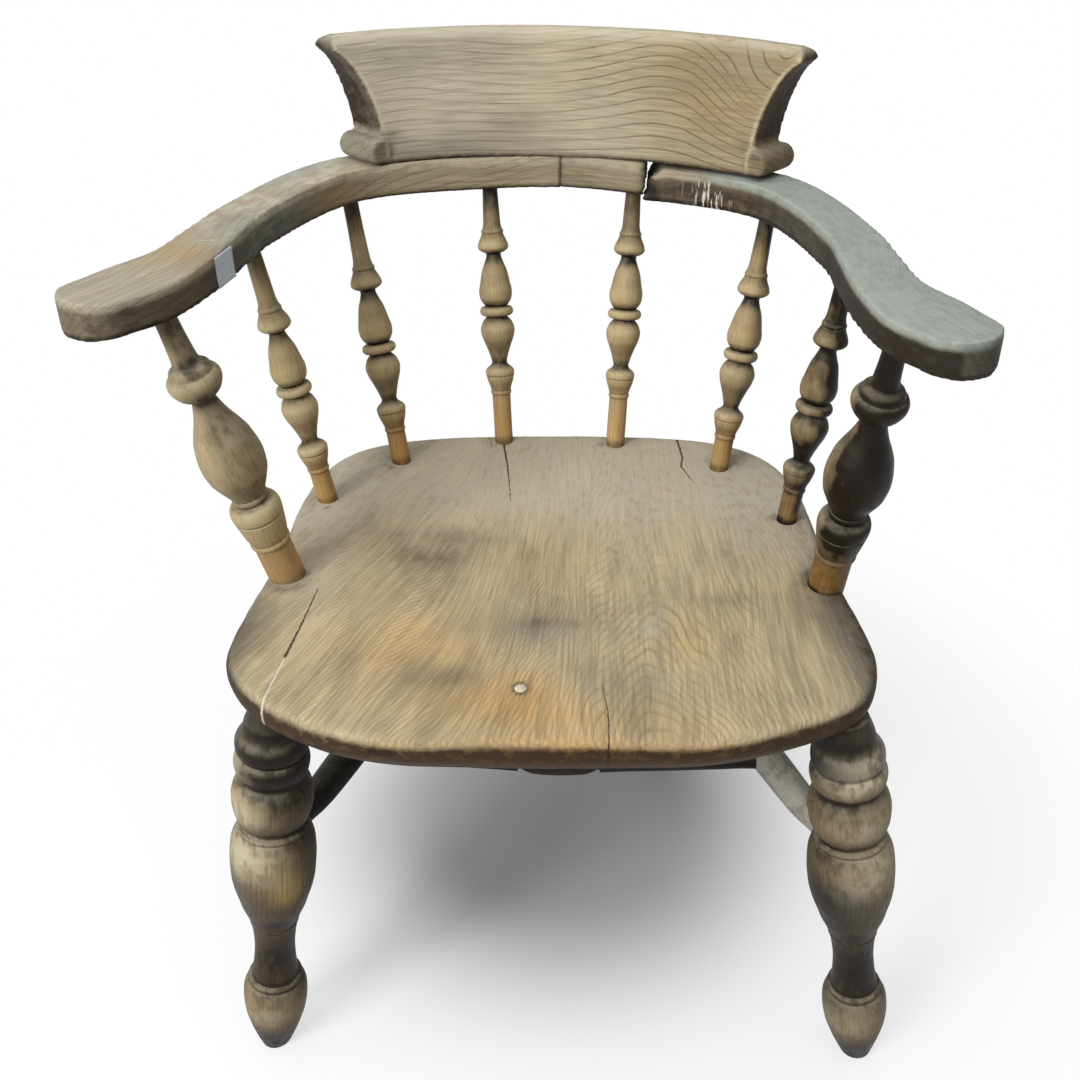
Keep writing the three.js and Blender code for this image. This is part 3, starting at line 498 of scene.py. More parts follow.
def skin(solid: bmesh.types.BMesh, voxel: float, passes: int) -> bmesh.types.BMesh:
    """Rebuilds one or more closed solids as an even, softly worn skin.

    Args:
        solid: The solids, which may overlap.
        voxel: The size of a face of the new skin.
        passes: How often the skin is smoothed.

    Returns:
        The new skin.
    """
    bmesh.ops.recalc_face_normals(solid, faces=solid.faces)
    mesh = bpy.data.meshes.new("rough")
    solid.to_mesh(mesh)
    solid.free()
    rough = put_in_scene("rough", mesh)
    remesh = rough.modifiers.new("even", "REMESH")
    remesh.mode = "VOXEL"
    remesh.voxel_size = voxel
    shown = rough.evaluated_get(bpy.context.evaluated_depsgraph_get())
    even = bmesh.new()
    even.from_mesh(shown.to_mesh())
    bpy.data.objects.remove(rough)
    bpy.data.meshes.remove(mesh)
    for _ in range(passes):
        bmesh.ops.smooth_vert(even, verts=even.verts, factor=0.5, use_axis_x=True,
                              use_axis_y=True, use_axis_z=True)
    return even


def prism(outline: list[Point], low: float, high: float) -> bmesh.types.BMesh:
    """Extrudes a closed plan outline upwards.

    Args:
        outline: The plan points in order.
        low: The height of the bottom face.
        high: The height of the top face.

    Returns:
        The solid.
    """
    bm = bmesh.new()
    face = bm.faces.new([bm.verts.new((x, y, low)) for x, y in outline])
    made = bmesh.ops.extrude_face_region(bm, geom=[face], use_keep_orig=True)
    moved = [v for v in made["geom"] if isinstance(v, bmesh.types.BMVert)]
    bmesh.ops.translate(bm, vec=(0, 0, high - low), verts=moved)
    bmesh.ops.recalc_face_normals(bm, faces=bm.faces)
    return bm


def rim(bm: bmesh.types.BMesh, height: float) -> list[bmesh.types.BMEdge]:
    """The edges of a solid that lie level at a height."""
    return [e for e in bm.edges if all(abs(v.co.z - height) < 1e-3 for v in e.verts)]


def ease(bm: bmesh.types.BMesh, edges: list[bmesh.types.BMEdge], radius: float,
         segments: int) -> None:
    """Rounds edges over."""
    bmesh.ops.bevel(bm, geom=edges, offset=radius, offset_type="OFFSET", segments=segments,
                    profile=0.5, affect="EDGES", material=-1, clamp_overlap=True)


def cut(bm: bmesh.types.BMesh, place: Vector, way: Vector, behind: bool = False,
        ahead: bool = False) -> None:
    """Cuts a solid along a plane, and closes it where a side is thrown away.

    Args:
        bm: The solid.
        place: A point of the plane.
        way: The direction that the plane faces.
        behind: Whether the side behind the plane is thrown away.
        ahead: Whether the side ahead of it is.
    """
    made = bmesh.ops.bisect_plane(bm, geom=bm.verts[:] + bm.edges[:] + bm.faces[:],
                                  plane_co=place, plane_no=way, clear_inner=behind,
                                  clear_outer=ahead)
    if behind or ahead:
        edges = [e for e in made["geom_cut"] if isinstance(e, bmesh.types.BMEdge)]
        bmesh.ops.holes_fill(bm, edges=edges)


def dice(bm: bmesh.types.BMesh, axis: int, size: float, count: int) -> None:
    """Cuts a box that is centred on the origin into even lengths, which stay joined.

    Args:
        bm: The box.
        axis: The number of the axis that the lengths follow each other on.
        size: The size of the box on that axis.
        count: The number of lengths.
    """
    way = Vector((0, 0, 0))
    way[axis] = 1
    for i in range(1, count):
        cut(bm, way * size * (i / count - 0.5), way)


def run_through(points: tuple, steps: int) -> np.ndarray:
    """A centripetal curve through points of any number of dimensions.

    Args:
        points: The points in order.
        steps: How many steps to take over the whole curve.

    Returns:
        The points of the curve, one a row.
    """
    given = np.array(points, float)
    ends = np.vstack([2 * given[0] - given[1], given, 2 * given[-1] - given[-2]])
    made = []
    for i in range(steps + 1):
        place = min(i / steps * (len(given) - 1), len(given) - 1 - 1e-9)
        k, t = int(place), place - int(place)
        a, b, c, d = ends[k:k + 4]
        ab, bc, cd = (max(np.linalg.norm(q - p), TOUCHING) ** 0.5 for p, q in ((a, b), (b, c), (c, d)))
        start = ((b - a) / ab - (c - a) / (ab + bc) + (c - b) / bc) * bc
        end = ((c - b) / bc - (d - b) / (bc + cd) + (d - c) / cd) * bc
        made.append(b + start * t + (3 * (c - b) - 2 * start - end) * t ** 2
                    + (2 * (b - c) + start + end) * t ** 3)
    return np.array(made)


def points_of(bm: bmesh.types.BMesh) -> np.ndarray:
    """The places of all vertices, one a row."""
    return np.array([v.co[:] for v in bm.verts])


def put_points(bm: bmesh.types.BMesh, points: np.ndarray) -> None:
    """Moves all vertices to new places."""
    for vert, point in zip(bm.verts, points):
        vert.co = point


def along(start: Vector, run: Vector) -> Matrix:
    """A frame at a point whose +Z follows a direction."""
    turn = Vector((0, 0, 1)).rotation_difference(run.normalized())
    return Matrix.Translation(start) @ turn.to_matrix().to_4x4()


def split_field(x: np.ndarray, y: np.ndarray, cracks: tuple) -> np.ndarray:
    """Signed distance to the nearest crack, its half width there and its share of filler.

    Args:
        x: First coordinate of each point.
        y: Second coordinate of each point.
        cracks: For each crack, its points as (x, y, half width) and its filler.

    Returns:
        Three numbers for each point.
    """
    best = np.full(len(x), np.inf)
    made = np.zeros((len(x), 3))
    for line, filler in cracks:
        for (ax, ay, aw), (bx, by, bw) in zip(line, line[1:]):
            run = np.array([bx - ax, by - ay])
            length = np.linalg.norm(run)
            t = ((x - ax) * run[0] + (y - ay) * run[1]) / length ** 2
            near = np.clip(t, 0, 1)
            side = ((x - ax) * run[1] - (y - ay) * run[0]) / length
            gap = np.hypot(x - ax - near * run[0], y - ay - near * run[1])
            closer = gap < best
            # A crack ends with its line, but for 2% that closes the corners of the line
            width = (aw + (bw - aw) * near) * ((t > -0.02) & (t < 1.02))
            best = np.where(closer, gap, best)
            row = np.stack([side, width, np.full(len(x), filler)], 1)
            made = np.where(closer[:, None], row, made)
    return made


class Workshop:
    """Finishes pieces: metres, attributes, material, body and the CAD node each stands for."""

    def __init__(self) -> None:
        """Finds where the chair stands from the peg in its seat."""
        low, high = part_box("seat_plug")
        middle = (low + high) / 2
        moved = (middle.x - PEG[0] * MM, middle.y - PEG[1] * MM, 0)
        self.place = Matrix.Translation(moved) @ Matrix.Scale(MM, 4)
        self.palette = Palette()
        self.pieces = 0

    def finish(self, name: str, bm: bmesh.types.BMesh, stand: Matrix, look: Finish, node: str,
               slot: str, fields: Fields) -> None:
        """Turns a modelled piece into an object of the scene.

        Args:
            name: The name of the new piece.
            bm: Its mesh in millimetres, in its own frame.
            stand: The matrix from its own frame to the chair's.
            look: Its finish.
            node: The CAD node that it stands for.
            slot: The name of its material slot, which is only written to the log.
            fields: Values for each vertex, by attribute name.
        """
        if "rings" in fields:
            fields.setdefault("figure", np.ones(len(bm.verts)))
        bmesh.ops.transform(bm, matrix=self.place @ stand, verts=bm.verts)
        bmesh.ops.recalc_face_normals(bm, faces=bm.faces)
        mesh = bpy.data.meshes.new(name)
        bm.to_mesh(mesh)
        bm.free()
        for key, values in fields.items():
            kind, part = ("FLOAT", "value") if values.ndim == 1 else ("FLOAT_VECTOR", "vector")
            layer = mesh.attributes.new(key, kind, "POINT")
            layer.data.foreach_set(part, values.astype(np.float32).ravel())
        mesh.shade_smooth()
        mesh.materials.append(self.palette.get(look))
        piece = put_in_scene(name, mesh)
        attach(piece, "root")
        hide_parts(node)
        self.pieces += 1
        LOG.info("%s: %d faces in %s", name, len(mesh.polygons), slot)


# The seat


@dataclass
class Seat:
    """The adzed seat: a thick plank, dished, eased above and cut away below.

    A patch on its top is given in plan: its strength, its middle and its reaches along x and y.
    """

    top: float = 430.0
    thickness: float = 42.0
    turn: float = 1.8
    front_y: float = -252.0
    # Right half of the plan: three curves in a row, each with two ends and two pulls
    curves: tuple = ((90, -250), (175, -250), (258, -205), (265, -138), (265, -83), (248, -25),
                     (248, 30), (248, 210), (208, 231), (0, 231))
    curve_steps: int = 26
    top_round: float = 9.0
    wall_round: float = 6.0
    wall: float = 20.0
    undercut: float = 18.0
    # Hollows: depth, middle and reaches
    hollows: tuple = ((9, 0, 25, 195, 165), (4, -118, -225, 95, 150), (4, 118, -225, 95, 150))
    carved_from: float = 18.0
    # Two nicks in the front edge, and a right front corner that is fuller than the curves
    nicks: tuple = ((1, -128, -252, 8, 6), (0.6, -112, -254, 6, 5))
    nick_in: float = 2.0
    nick_down: float = 1.2
    corner: tuple = ((1, 240, -196, 46, 46),)
    corner_out: Point = (7.0, -6.0)
    voxel: float = 3.2
    # Sockets of the uprights, with their radii
    holes: tuple = ((-233, -40, 16), (-222, 89, 9.5), (-161, 166, 9.5), (-59, 213, 9.5),
                    (242, -39, 16), (220, 66, 9.5), (163, 163, 9.5), (58, 209, 9.5))
    ring_bends: tuple = ((9, -95, -60, 60, 70), (8, 20, -110, 34, 50), (5, 104, -112, 20, 60),
                         (7, 178, -112, 18, 12))
    clear_figure: tuple = ((0.5, 104, -118, 45, 60),)
    dusty: tuple = ((0.55, 84, -105, 12, 22), (0.3, 60, 20, 60, 60))
    flecked: tuple = ((0.6, 80, -80, 150, 90),)
    warmed: tuple = ((0.5, -112, -140, 62, 55), (0.75, -34, -200, 46, 34),
                     (0.35, 40, -225, 90, 25), (0.3, 110, -120, 30, 40), (0.3, 20, 20, 50, 60))
    cooled: tuple = ((0.75, -10, -112, 40, 26), (0.5, -85, -170, 34, 18),
                     (0.4, 60, -180, 40, 30))
    grimed: tuple = ((0.42, -112, 2, 46, 20), (0.4, -92, 36, 50, 14), (0.35, -14, -102, 12, 8),
                     (0.35, 18, -102, 12, 8), (0.3, -84, -172, 26, 12), (0.3, 150, -70, 30, 12))
    # Cracks, as points with half widths; the second one is full of pale filler
    cracks: tuple = (
        (((-203, -55, 0.5), (-209, -110, 1.1), (-214, -150, 1.7)), 0.0),
        (((-214, -150, 1.4), (-220, -195, 1.6), (-228, -262, 1.8)), 1.0),
        (((-54, 222, 1.5), (-46, 160, 1.1), (-41, 100, 0.3)), 0.0),
        (((129, 226, 1.5), (133, 178, 1.4), (130, 160, 1.2), (140, 128, 0.4)), 0.0),
        (((42, -182, 0.2), (46, -215, 0.5), (45, -262, 0.8)), 0.0),
        (((-142, -245, 0.1), (-128, -247, 0.45), (-112, -249, 0.1)), 0.0),
    )

    def outline(self) -> list[Point]:
        """Draws the plan, from the middle of the front round the right side and back.

        Returns:
            The points of the plan.
        """
        half = [(0.0, self.front_y)]
        for first in range(0, len(self.curves) - 1, 3):
            for i in range(self.curve_steps):
                t = i / self.curve_steps
                shares = ((1 - t) ** 3, 3 * t * (1 - t) ** 2, 3 * t * t * (1 - t), t ** 3)
                pulls = zip(shares, self.curves[first:first + 4])
                x, y = sum(share * np.array(point, float) for share, point in pulls)
                half.append((x, y))
        half.append(self.curves[-1])
        return half + [(-x, y) for x, y in half[-2:0:-1]]

    def carve(self, points: np.ndarray) -> np.ndarray:
        """Sinks the dish and the thigh hollows into the top, and wears the front edge.

        Args:
            points: The vertices before they are carved.

        Returns:
            Their new places.
        """
        x, y, z = points.T
        deep = np.zeros(len(x))
        for depth, across, back, wide, long in self.hollows:
            share = np.clip(np.hypot((x - across) / wide, (y - back) / long), 0, 1)
            deep = np.maximum(deep, depth * (0.5 + 0.5 * np.cos(np.pi * share)))
        upper = smoothstep(z, self.thickness - self.carved_from, self.thickness - 1)
        nick = patches(x, y, self.nicks)
        # Slow waves half a millimetre high, and finer marks of the tool along the grain
        tooled = 0.5 * waver(points, 45, 3.0) + 0.22 * waver(points * (1, 0.12, 1), 5, 9.0)
        z = z - deep * upper + upper * tooled - self.nick_down * nick * upper
        y = y + self.nick_in * nick
        corner = patches(x, y, self.corner)
        x = x + self.corner_out[0] * corner + 0.6 * waver(points, 30, 21.0)
        y = y + self.corner_out[1] * corner
        return np.stack([x, y, z], 1)

    def fields(self, points: np.ndarray) -> Fields:
        """Works out grain, rings, stains, dirt, painted shade and highlight, and cracks.

        Args:
            points: The vertices before they are carved.

        Returns:
            Values for each vertex, by attribute name.
        """
        x, y, z = points.T
        side = np.abs(x)
        # One arched figure winds 98 mm to the right of the middle; elsewhere the rings run front
        # to back and drift aside on the left
        aside = x - 98 - 12 * np.sin((y + 60) / 90)
        drift = 0.42 * smoothstep(x, 30, -110) * (y + 190)
        drift = drift - 9 * waver(points * (1, 0.5, 1), 75, 2.0)
        rings = np.hypot(aside, 30) + 0.26 * (y + 118) + drift + patches(x, y, self.ring_bends)
        rings = rings + 0.5 * (self.thickness - z)
        rings = rings + 9 * waver(points * (1, 0.22, 1), 38, 5.0)
        rings = rings + 3 * waver(points * (1, 0.3, 1), 13, 8.0)
        figure = 0.62 + 0.9 * waver(points * (1, 0.4, 1), 34, 14.0)
        figure = np.clip(figure + patches(x, y, self.clear_figure), 0.08, 1)

        # Heights on the plank: its top, its wall, the round between them and its arris, worn and
        # painted with a highlight
        above = smoothstep(z, self.thickness - 11, self.thickness - 3)
        wall = 1 - above
        shoulder = 1 - smoothstep(z, self.thickness - 7, self.thickness - 1.2)
        arris = smoothstep(z, self.thickness - 14, self.thickness - 5)
        arris = arris * (1 - smoothstep(z, self.thickness - 5, self.thickness - 1))

        # Dust lies at the back, along both sides and in the open pores of the middle
        flecks = smoothstep(waver(points, 6, 50.0), 0.38, 0.5)
        flecks = flecks * smoothstep(waver(points, 40, 9.0), -0.1, 0.3)
        dust = 0.62 * smoothstep(y, 10, 120) + patches(x, y, self.dusty)
        dust = dust + 0.5 * smoothstep(x, -160, -215) * smoothstep(y, -120, -20)
        dust = dust + 0.4 * smoothstep(x, 120, 190) * smoothstep(y, -60, 20)
        dust = dust + flecks * patches(x, y, self.flecked)

        # Ochre where it was sat on and along the front edge, grey towards the sides
        warm = patches(x, y, self.warmed) + 0.5 * smoothstep(y, -238, -250) * above
        warm = warm + wall * 0.7 * smoothstep(side, 190, 110) * smoothstep(y, -150, -220)
        cool = patches(x, y, self.cooled) + 0.8 * smoothstep(side, 225, 262)
        cool = cool + 0.6 * smoothstep(x, 205, 245) * smoothstep(y, 60, -40)
        cool = cool + 0.6 * (wall + shoulder) * smoothstep(side, 200, 245)

        # Darker on the wall and the shoulders, painted shade below the wall, and grime in blots, round
        # the peg and the sockets
        blot = waver(points * (1, 0.35, 1), 30, 40.0)
        peg = Matrix.Rotation(-math.radians(self.turn), 2) @ Vector(PEG)
        grime_and_shade = patches(x, y, self.grimed) + wall * (0.72 + 0.2 * smoothstep(side, 150, 240))
        # Painted shade on the lower wall and the underside
        grime_and_shade = grime_and_shade + 0.95 * smoothstep(z, 28, 20)
        grime_and_shade = grime_and_shade + 0.45 * smoothstep(side, 240, 262) * smoothstep(y, 0, -60)
        grime_and_shade = grime_and_shade + 0.5 * smoothstep(x, 222, 256) * smoothstep(y, 40, -60)
        grime_and_shade = grime_and_shade + 0.85 * shoulder * (0.75 + 0.7 * smoothstep(side, 190, 245))
        grime_and_shade = grime_and_shade + 0.22 * smoothstep(blot, 0.12, 0.5) * above * smoothstep(y, 150, 40)
        grime_and_shade = grime_and_shade + 0.8 * ridge(np.hypot(x - peg.x, y - peg.y), 6, 1.8)
        for across, back, radius in self.holes:
            grime_and_shade = grime_and_shade + 0.75 * ridge(np.hypot(x - across, y - back), radius, 5)

        # Wear and a painted highlight along the front arris
        worn = 0.15 * arris * smoothstep(y, -150, -230)
        return {"grain": np.stack([x - drift, z, y], 1), "rings": rings, "figure": figure,
                "split": split_field(x, y, self.cracks),
                **coat(dust * above, grime_and_shade, worn, warm, cool)}

    def build(self, shop: Workshop) -> None:
        """Models the seat and hands it over.

        Args:
            shop: The workshop that finishes it.
        """
        bm = prism(self.outline(), self.thickness - self.wall, self.thickness)
        under = [f for f in bm.faces if f.normal.z < -0.9]
        bmesh.ops.inset_region(bm, faces=under, thickness=self.undercut, use_even_offset=True)
        bmesh.ops.translate(bm, vec=(0, 0, self.wall - self.thickness),
                            verts=[v for f in under for v in f.verts])
        ease(bm, rim(bm, self.thickness), self.top_round, 5)
        ease(bm, rim(bm, self.thickness - self.wall), self.wall_round, 3)
        bm = skin(bm, self.voxel, 2)
        points = points_of(bm)
        put_points(bm, self.carve(points))
        stand = (Matrix.Translation((0, 0, self.top - self.thickness))
                 @ Matrix.Rotation(math.radians(self.turn), 4, "Z"))
        shop.finish("seat_plank", bm, stand, Finish.SEAT, "seat", "seat_wood",
                    self.fields(points))


# The bow


class BowPart(Enum):
    """The pieces of the broken bow."""

    LEFT = "left"
    STUB = "stub"
    RIGHT = "right"


@dataclass
class Bow:
    """The sawn bow on its spindles: a whole left arm, a stub and a sagging, broken right arm.

    A patch on it is given by its strength, its middle and its reaches, along the bow and across.
    """

    underside: float = 684.0
    thickness: float = 30.0
    centre_y: float = 284.0
    twist: float = -2.6
    lean: float = 0.75
    sag: float = -1.1
    sag_pivot: float = 290.0
    edge: float = 7.0
    crisp_edge: float = 2.6
    crisp_half: float = 205.0
    # Middle of the right half in plan, and its width there
    line: tuple = ((-71, -12, 50), (0, 0, 50), (71, -12, 50), (198, -70, 47), (254, -200, 44),
                   (264, -264, 48), (272, -318, 53), (291, -364, 69), (308, -392, 62))
    end_reach: float = 29.0
    end_steps: int = 26
    # A piece starts this far past the joint, because its smoothed skin shrinks
    overlap: float = 0.7
    break_x: float = 81.5
    break_gap: float = 5.0
    break_reach: float = 7.0
    voxel: float = 2.3
    sockets: tuple = ((272, -367), (258, -197), (198, -70), (71, -12))
    left_cool: tuple = ((0.9, 330, -20, 55, 16), (0.85, 415, -22, 60, 20),
                        (0.55, 395, 10, 40, 18))
    left_warm: tuple = ((0.85, 345, 14, 45, 18), (0.9, 478, -4, 28, 30), (0.6, 265, -18, 40, 14),
                        (0.5, 440, 18, 40, 14))
    left_dust: tuple = ((0.4, 250, 16, 60, 12),)
    left_grime: tuple = ((0.3, 430, -28, 40, 8),)
    right_warm: tuple = ((0.8, 175, -10, 40, 22),)
    right_grime: tuple = ((0.3, 92, -22, 12, 30),)
    # A pale scratch across the top of the left arm, and one crack in the right one
    scratch: tuple = ((((447, 2, 0.8), (441, -12, 1.5)), 1.0),)
    crack: tuple = ((((-462, -2, 0.3), (-440, -2, 0.8), (-400, -2, 0.3)), 0.0),)

    def frame(self, sagging: bool = False) -> Matrix:
        """Finds how the bow stands in the chair.

        Args:
            sagging: Whether it is the broken arm that is wanted.

        Returns:
            The frame of the bow, or of its sagging arm.
        """
        made = (Matrix.Translation((0, self.centre_y, self.underside))
                @ Matrix.Rotation(math.radians(self.twist), 4, "Z")
                @ Matrix.Rotation(math.radians(self.lean), 4, "Y"))
        if sagging:
            made = (made @ Matrix.Translation((self.sag_pivot, 0, 0))
                    @ Matrix.Rotation(math.radians(self.sag), 4, "Y")
                    @ Matrix.Translation((-self.sag_pivot, 0, 0)))
        return made

    def path(self, steps: int = 150) -> tuple[np.ndarray, np.ndarray]:
        """Draws the middle of the right half.

        Args:
            steps: How many steps to take.

        Returns:
            The middle line with its widths, and the outward direction at each step.
        """
        line = run_through(self.line, steps)
        run = np.gradient(line[:, :2], axis=0)
        run /= np.linalg.norm(run, axis=1)[:, None]
        return line, np.stack([-run[:, 1], run[:, 0]], 1)

    def outline(self) -> list[Point]:
        """Draws the plan of the right half, closed by the round end of the hand rest.

        Returns:
            The points of the plan.
        """
        line, out = self.path()
        outer = line[:, :2] + out * line[:, 2:] / 2
        inner = line[:, :2] - out * line[:, 2:] / 2
        ahead = np.array([out[-1][1], -out[-1][0]])
        middle = (outer[-1] + inner[-1]) / 2
        turn = np.linspace(0, np.pi, self.end_steps)[1:-1, None]
        end = middle + (outer[-1] - middle) * np.cos(turn) + ahead * self.end_reach * np.sin(turn)
        return [tuple(p) for p in np.vstack([outer, end, inner[::-1]])]

    def solid(self, mirror: bool, low: float, high: float) -> bmesh.types.BMesh:
        """Saws a piece of the bow to length and eases its edges, but not at the cuts.

        Args:
            mirror: Whether it is of the left half.
            low: Where it starts, to the side of the middle.
            high: Where it is cut off, or infinity where it runs out into a hand rest.

        Returns:
            The piece as an even skin in the frame of the bow.
        """
        bm = prism(self.outline(), 0, self.thickness)
        sideways = Vector((1, 0, 0))
        cut(bm, sideways * low, sideways, behind=True)
        if high < math.inf:
            cut(bm, sideways * high, sideways, ahead=True)
        if mirror:
            bmesh.ops.scale(bm, vec=(-1, 1, 1), verts=bm.verts)
        bmesh.ops.recalc_face_normals(bm, faces=bm.faces)
        reach = {e: [abs(v.co.x) for v in e.verts] for e in rim(bm, 0) + rim(bm, self.thickness)}
        for x in (abs(low), high):
            reach = {e: way for e, way in reach.items() if any(abs(w - x) > 0.01 for w in way)}
        ease(bm, [e for e, way in reach.items() if max(way) < self.crisp_half], self.crisp_edge, 2)
        soft = [e for e, way in reach.items() if e.is_valid and max(way) >= self.crisp_half]
        ease(bm, soft, self.edge, 4)
        return skin(bm, self.voxel, 2)

    def run_length(self, points: np.ndarray) -> tuple[np.ndarray, np.ndarray]:
        """Measures the bow as if it were straight.

        Args:
            points: The vertices.

        Returns:
            How far along the bow each one is, and how far to its outer side.
        """
        line, out = self.path(90)
        lengths = np.linalg.norm(np.diff(line[:, :2], axis=0), axis=1)
        steps = np.concatenate([[0], np.cumsum(lengths)])
        mirrored = np.stack([np.abs(points[:, 0]), points[:, 1]], 1)
        nearest = np.linalg.norm(mirrored[:, None] - line[None, :, :2], axis=2).argmin(1)
        offset = mirrored - line[nearest, :2]
        side = (offset * out[nearest]).sum(1)
        ahead = offset[:, 0] * out[nearest, 1] - offset[:, 1] * out[nearest, 0]
        centre = steps[np.abs(line[:, 0]).argmin()]
        return steps[nearest] + ahead - centre, side

    def fields(self, points: np.ndarray, part: BowPart) -> Fields:
        """Works out grain, stains, dirt and painted shade of one piece.

        Args:
            points: The vertices before they are worn.
            part: Which piece it is.

        Returns:
            Values for each vertex, by attribute name.
        """
        x, y, z = points.T
        run, side = self.run_length(points)
        seed = {BowPart.LEFT: 0.0, BowPart.STUB: 400.0, BowPart.RIGHT: 900.0}[part]
        above = smoothstep(z, self.thickness - 9, self.thickness - 3)
        below = smoothstep(z, 5, 1)
        wall = 1 - above
        inner = smoothstep(side, -14, -21) * wall
        arris = ridge(z, self.thickness - 5, 3) * smoothstep(side, -12, -20)
        paint = np.zeros(len(x))
        if part is BowPart.RIGHT:
            # Blue-grey towards the hand rest, with a row of paint runs near the break
            cool = above * smoothstep(run, 110, 190) * 0.95 + 0.8 * smoothstep(run, 330, 400) * wall
            cool = cool + inner * 0.6 * smoothstep(run, 190, 260)
            warm = patches(run, side, self.right_warm)
            dust = above * smoothstep(run, 120, 200) * 0.75
            grime_and_shade = inner * (0.8 + 0.1 * smoothstep(run, 110, 60))
            grime_and_shade = grime_and_shade + 0.55 * smoothstep(run, 350, 420) * wall
            grime_and_shade = grime_and_shade + patches(run, side, self.right_grime)
            paint = inner * ridge(run, 160, 20)
            worn = 0.5 * arris
        else:
            # Ochre and pale where hands rubbed the dust off
            cool = patches(run, side, self.left_cool) + 0.1 * above * smoothstep(run, 150, 260)
            cool = cool * (1 - 0.6 * above)
            warm = patches(run, side, self.left_warm)
            dust = 0.15 * smoothstep(run, 180, 280) + patches(run, side, self.left_dust)
            dust = dust * above
            grime_and_shade = inner * 0.08 + 0.6 * smoothstep(run, 400, 460) * wall
            grime_and_shade = grime_and_shade + patches(run, side, self.left_grime)
            rubbed = 0.3 + 0.7 * smoothstep(waver(points * (1, 1, 0), 34, 3.0), -0.35, 0.3)
            worn = 0.8 * above * rubbed * smoothstep(run, 160, 230) * smoothstep(run, 470, 380)
            worn = worn + 0.45 * arris
        # Painted shade along the bottom edge, darker on the outer wall, a painted shadow where the
        # crest rail stands on the top, and grime round the sockets, in the joint and at the break
        grime_and_shade = grime_and_shade + 0.9 * below + 0.15 * smoothstep(side, 14, 21) * wall
        for across, back in self.sockets:
            grime_and_shade = grime_and_shade + 0.5 * below * ridge(np.hypot(np.abs(x) - across, y - back), 0, 16)
        grime_and_shade = grime_and_shade + 0.55 * smoothstep(run, 172, 158) * above * smoothstep(side, -22, -14)
        grime_and_shade = grime_and_shade + 0.12 * (part is BowPart.STUB) + 0.6 * ridge(x, 0, 1.8)
        if part is not BowPart.LEFT:
            grime_and_shade = grime_and_shade + 0.75 * ridge(x, self.break_x, self.break_reach) ** 2
        split = split_field(run, side, self.scratch if part is BowPart.LEFT else self.crack)
        split[:, 1] *= above
        # Sawn from short straight planks, so the rings leave the curve at a shallow slant
        rings = 0.9 * side + 0.17 * run + 0.8 * z + 5 * waver(points, 60, seed)
        figure = np.clip(0.75 + 0.8 * waver(points, 50, seed + 6), 0.1, 1)
        return {"grain": np.stack([side, z, run + seed], 1), "rings": rings, "figure": figure,
                "split": split, **coat(dust, grime_and_shade, worn, warm, cool, paint)}

    def wear(self, points: np.ndarray, part: BowPart) -> np.ndarray:
        """Wears the hand rest round and frays the broken ends along their fibres.

        Args:
            points: The vertices before they are worn.
            part: Which piece it is.

        Returns:
            Their new places.
        """
        x, y, z = points.T
        run, side = self.run_length(points)
        middle = self.thickness / 2
        palm = smoothstep(run, 380, 470)
        z = middle + (z - middle) * (1 - 0.16 * palm * np.clip((side / 34) ** 2, 0, 1))
        z = z + 0.5 * waver(points, 55, 2.0) * smoothstep(z, 5, 25)
        z = z + 0.12 * waver(points * (1, 1, 0.3), 4, 8.0)
        if part is BowPart.LEFT:
            return np.stack([x, y, z], 1)
        right = part is BowPart.RIGHT
        centre = self.break_x + (self.break_gap if right else 0)
        near = ridge(x, centre, self.break_reach)
        # Fibres tore off at different lengths, with one step from a ring to the next
        tear = waver(np.stack([x * 0.05, y, z], 1), 3.2, 5.0 if right else 17.0)
        step = 3.0 * np.tanh((z - 19) / 2) if right else 1.2 * np.tanh((z - 9) / 3)
        x = x + near * (2.4 * tear + 0.6 * step)
        if right:
            # A chip is gone from the top, and a flap of fibres hangs out below
            chip = smoothstep(y, 12, -6) * smoothstep(x, centre + 14, centre + 3)
            z = z - 7 * smoothstep(z, 20, 27) * chip
            x = x - 3.5 * smoothstep(z, 8, 1) * smoothstep(y, 0, -20) * near
        return np.stack([x, y, z], 1)

    def build(self, shop: Workshop) -> None:
        """Models the three pieces of the bow and hands them over.

        Args:
            shop: The workshop that finishes them.
        """
        torn = self.break_x + self.break_gap
        for part, low, high, node in (
                (BowPart.LEFT, -self.overlap, math.inf, "arm_left"),
                (BowPart.STUB, -self.overlap, self.break_x, "bow_stub"),
                (BowPart.RIGHT, torn, math.inf, "arm_right")):
            bm = self.solid(part is BowPart.LEFT, low, high)
            points = points_of(bm)
            put_points(bm, self.wear(points, part))
            shop.finish(f"bow_{part.value}", bm, self.frame(part is BowPart.RIGHT), Finish.ARM,
                        node, "arm_wood", self.fields(points, part))


# The crest rail


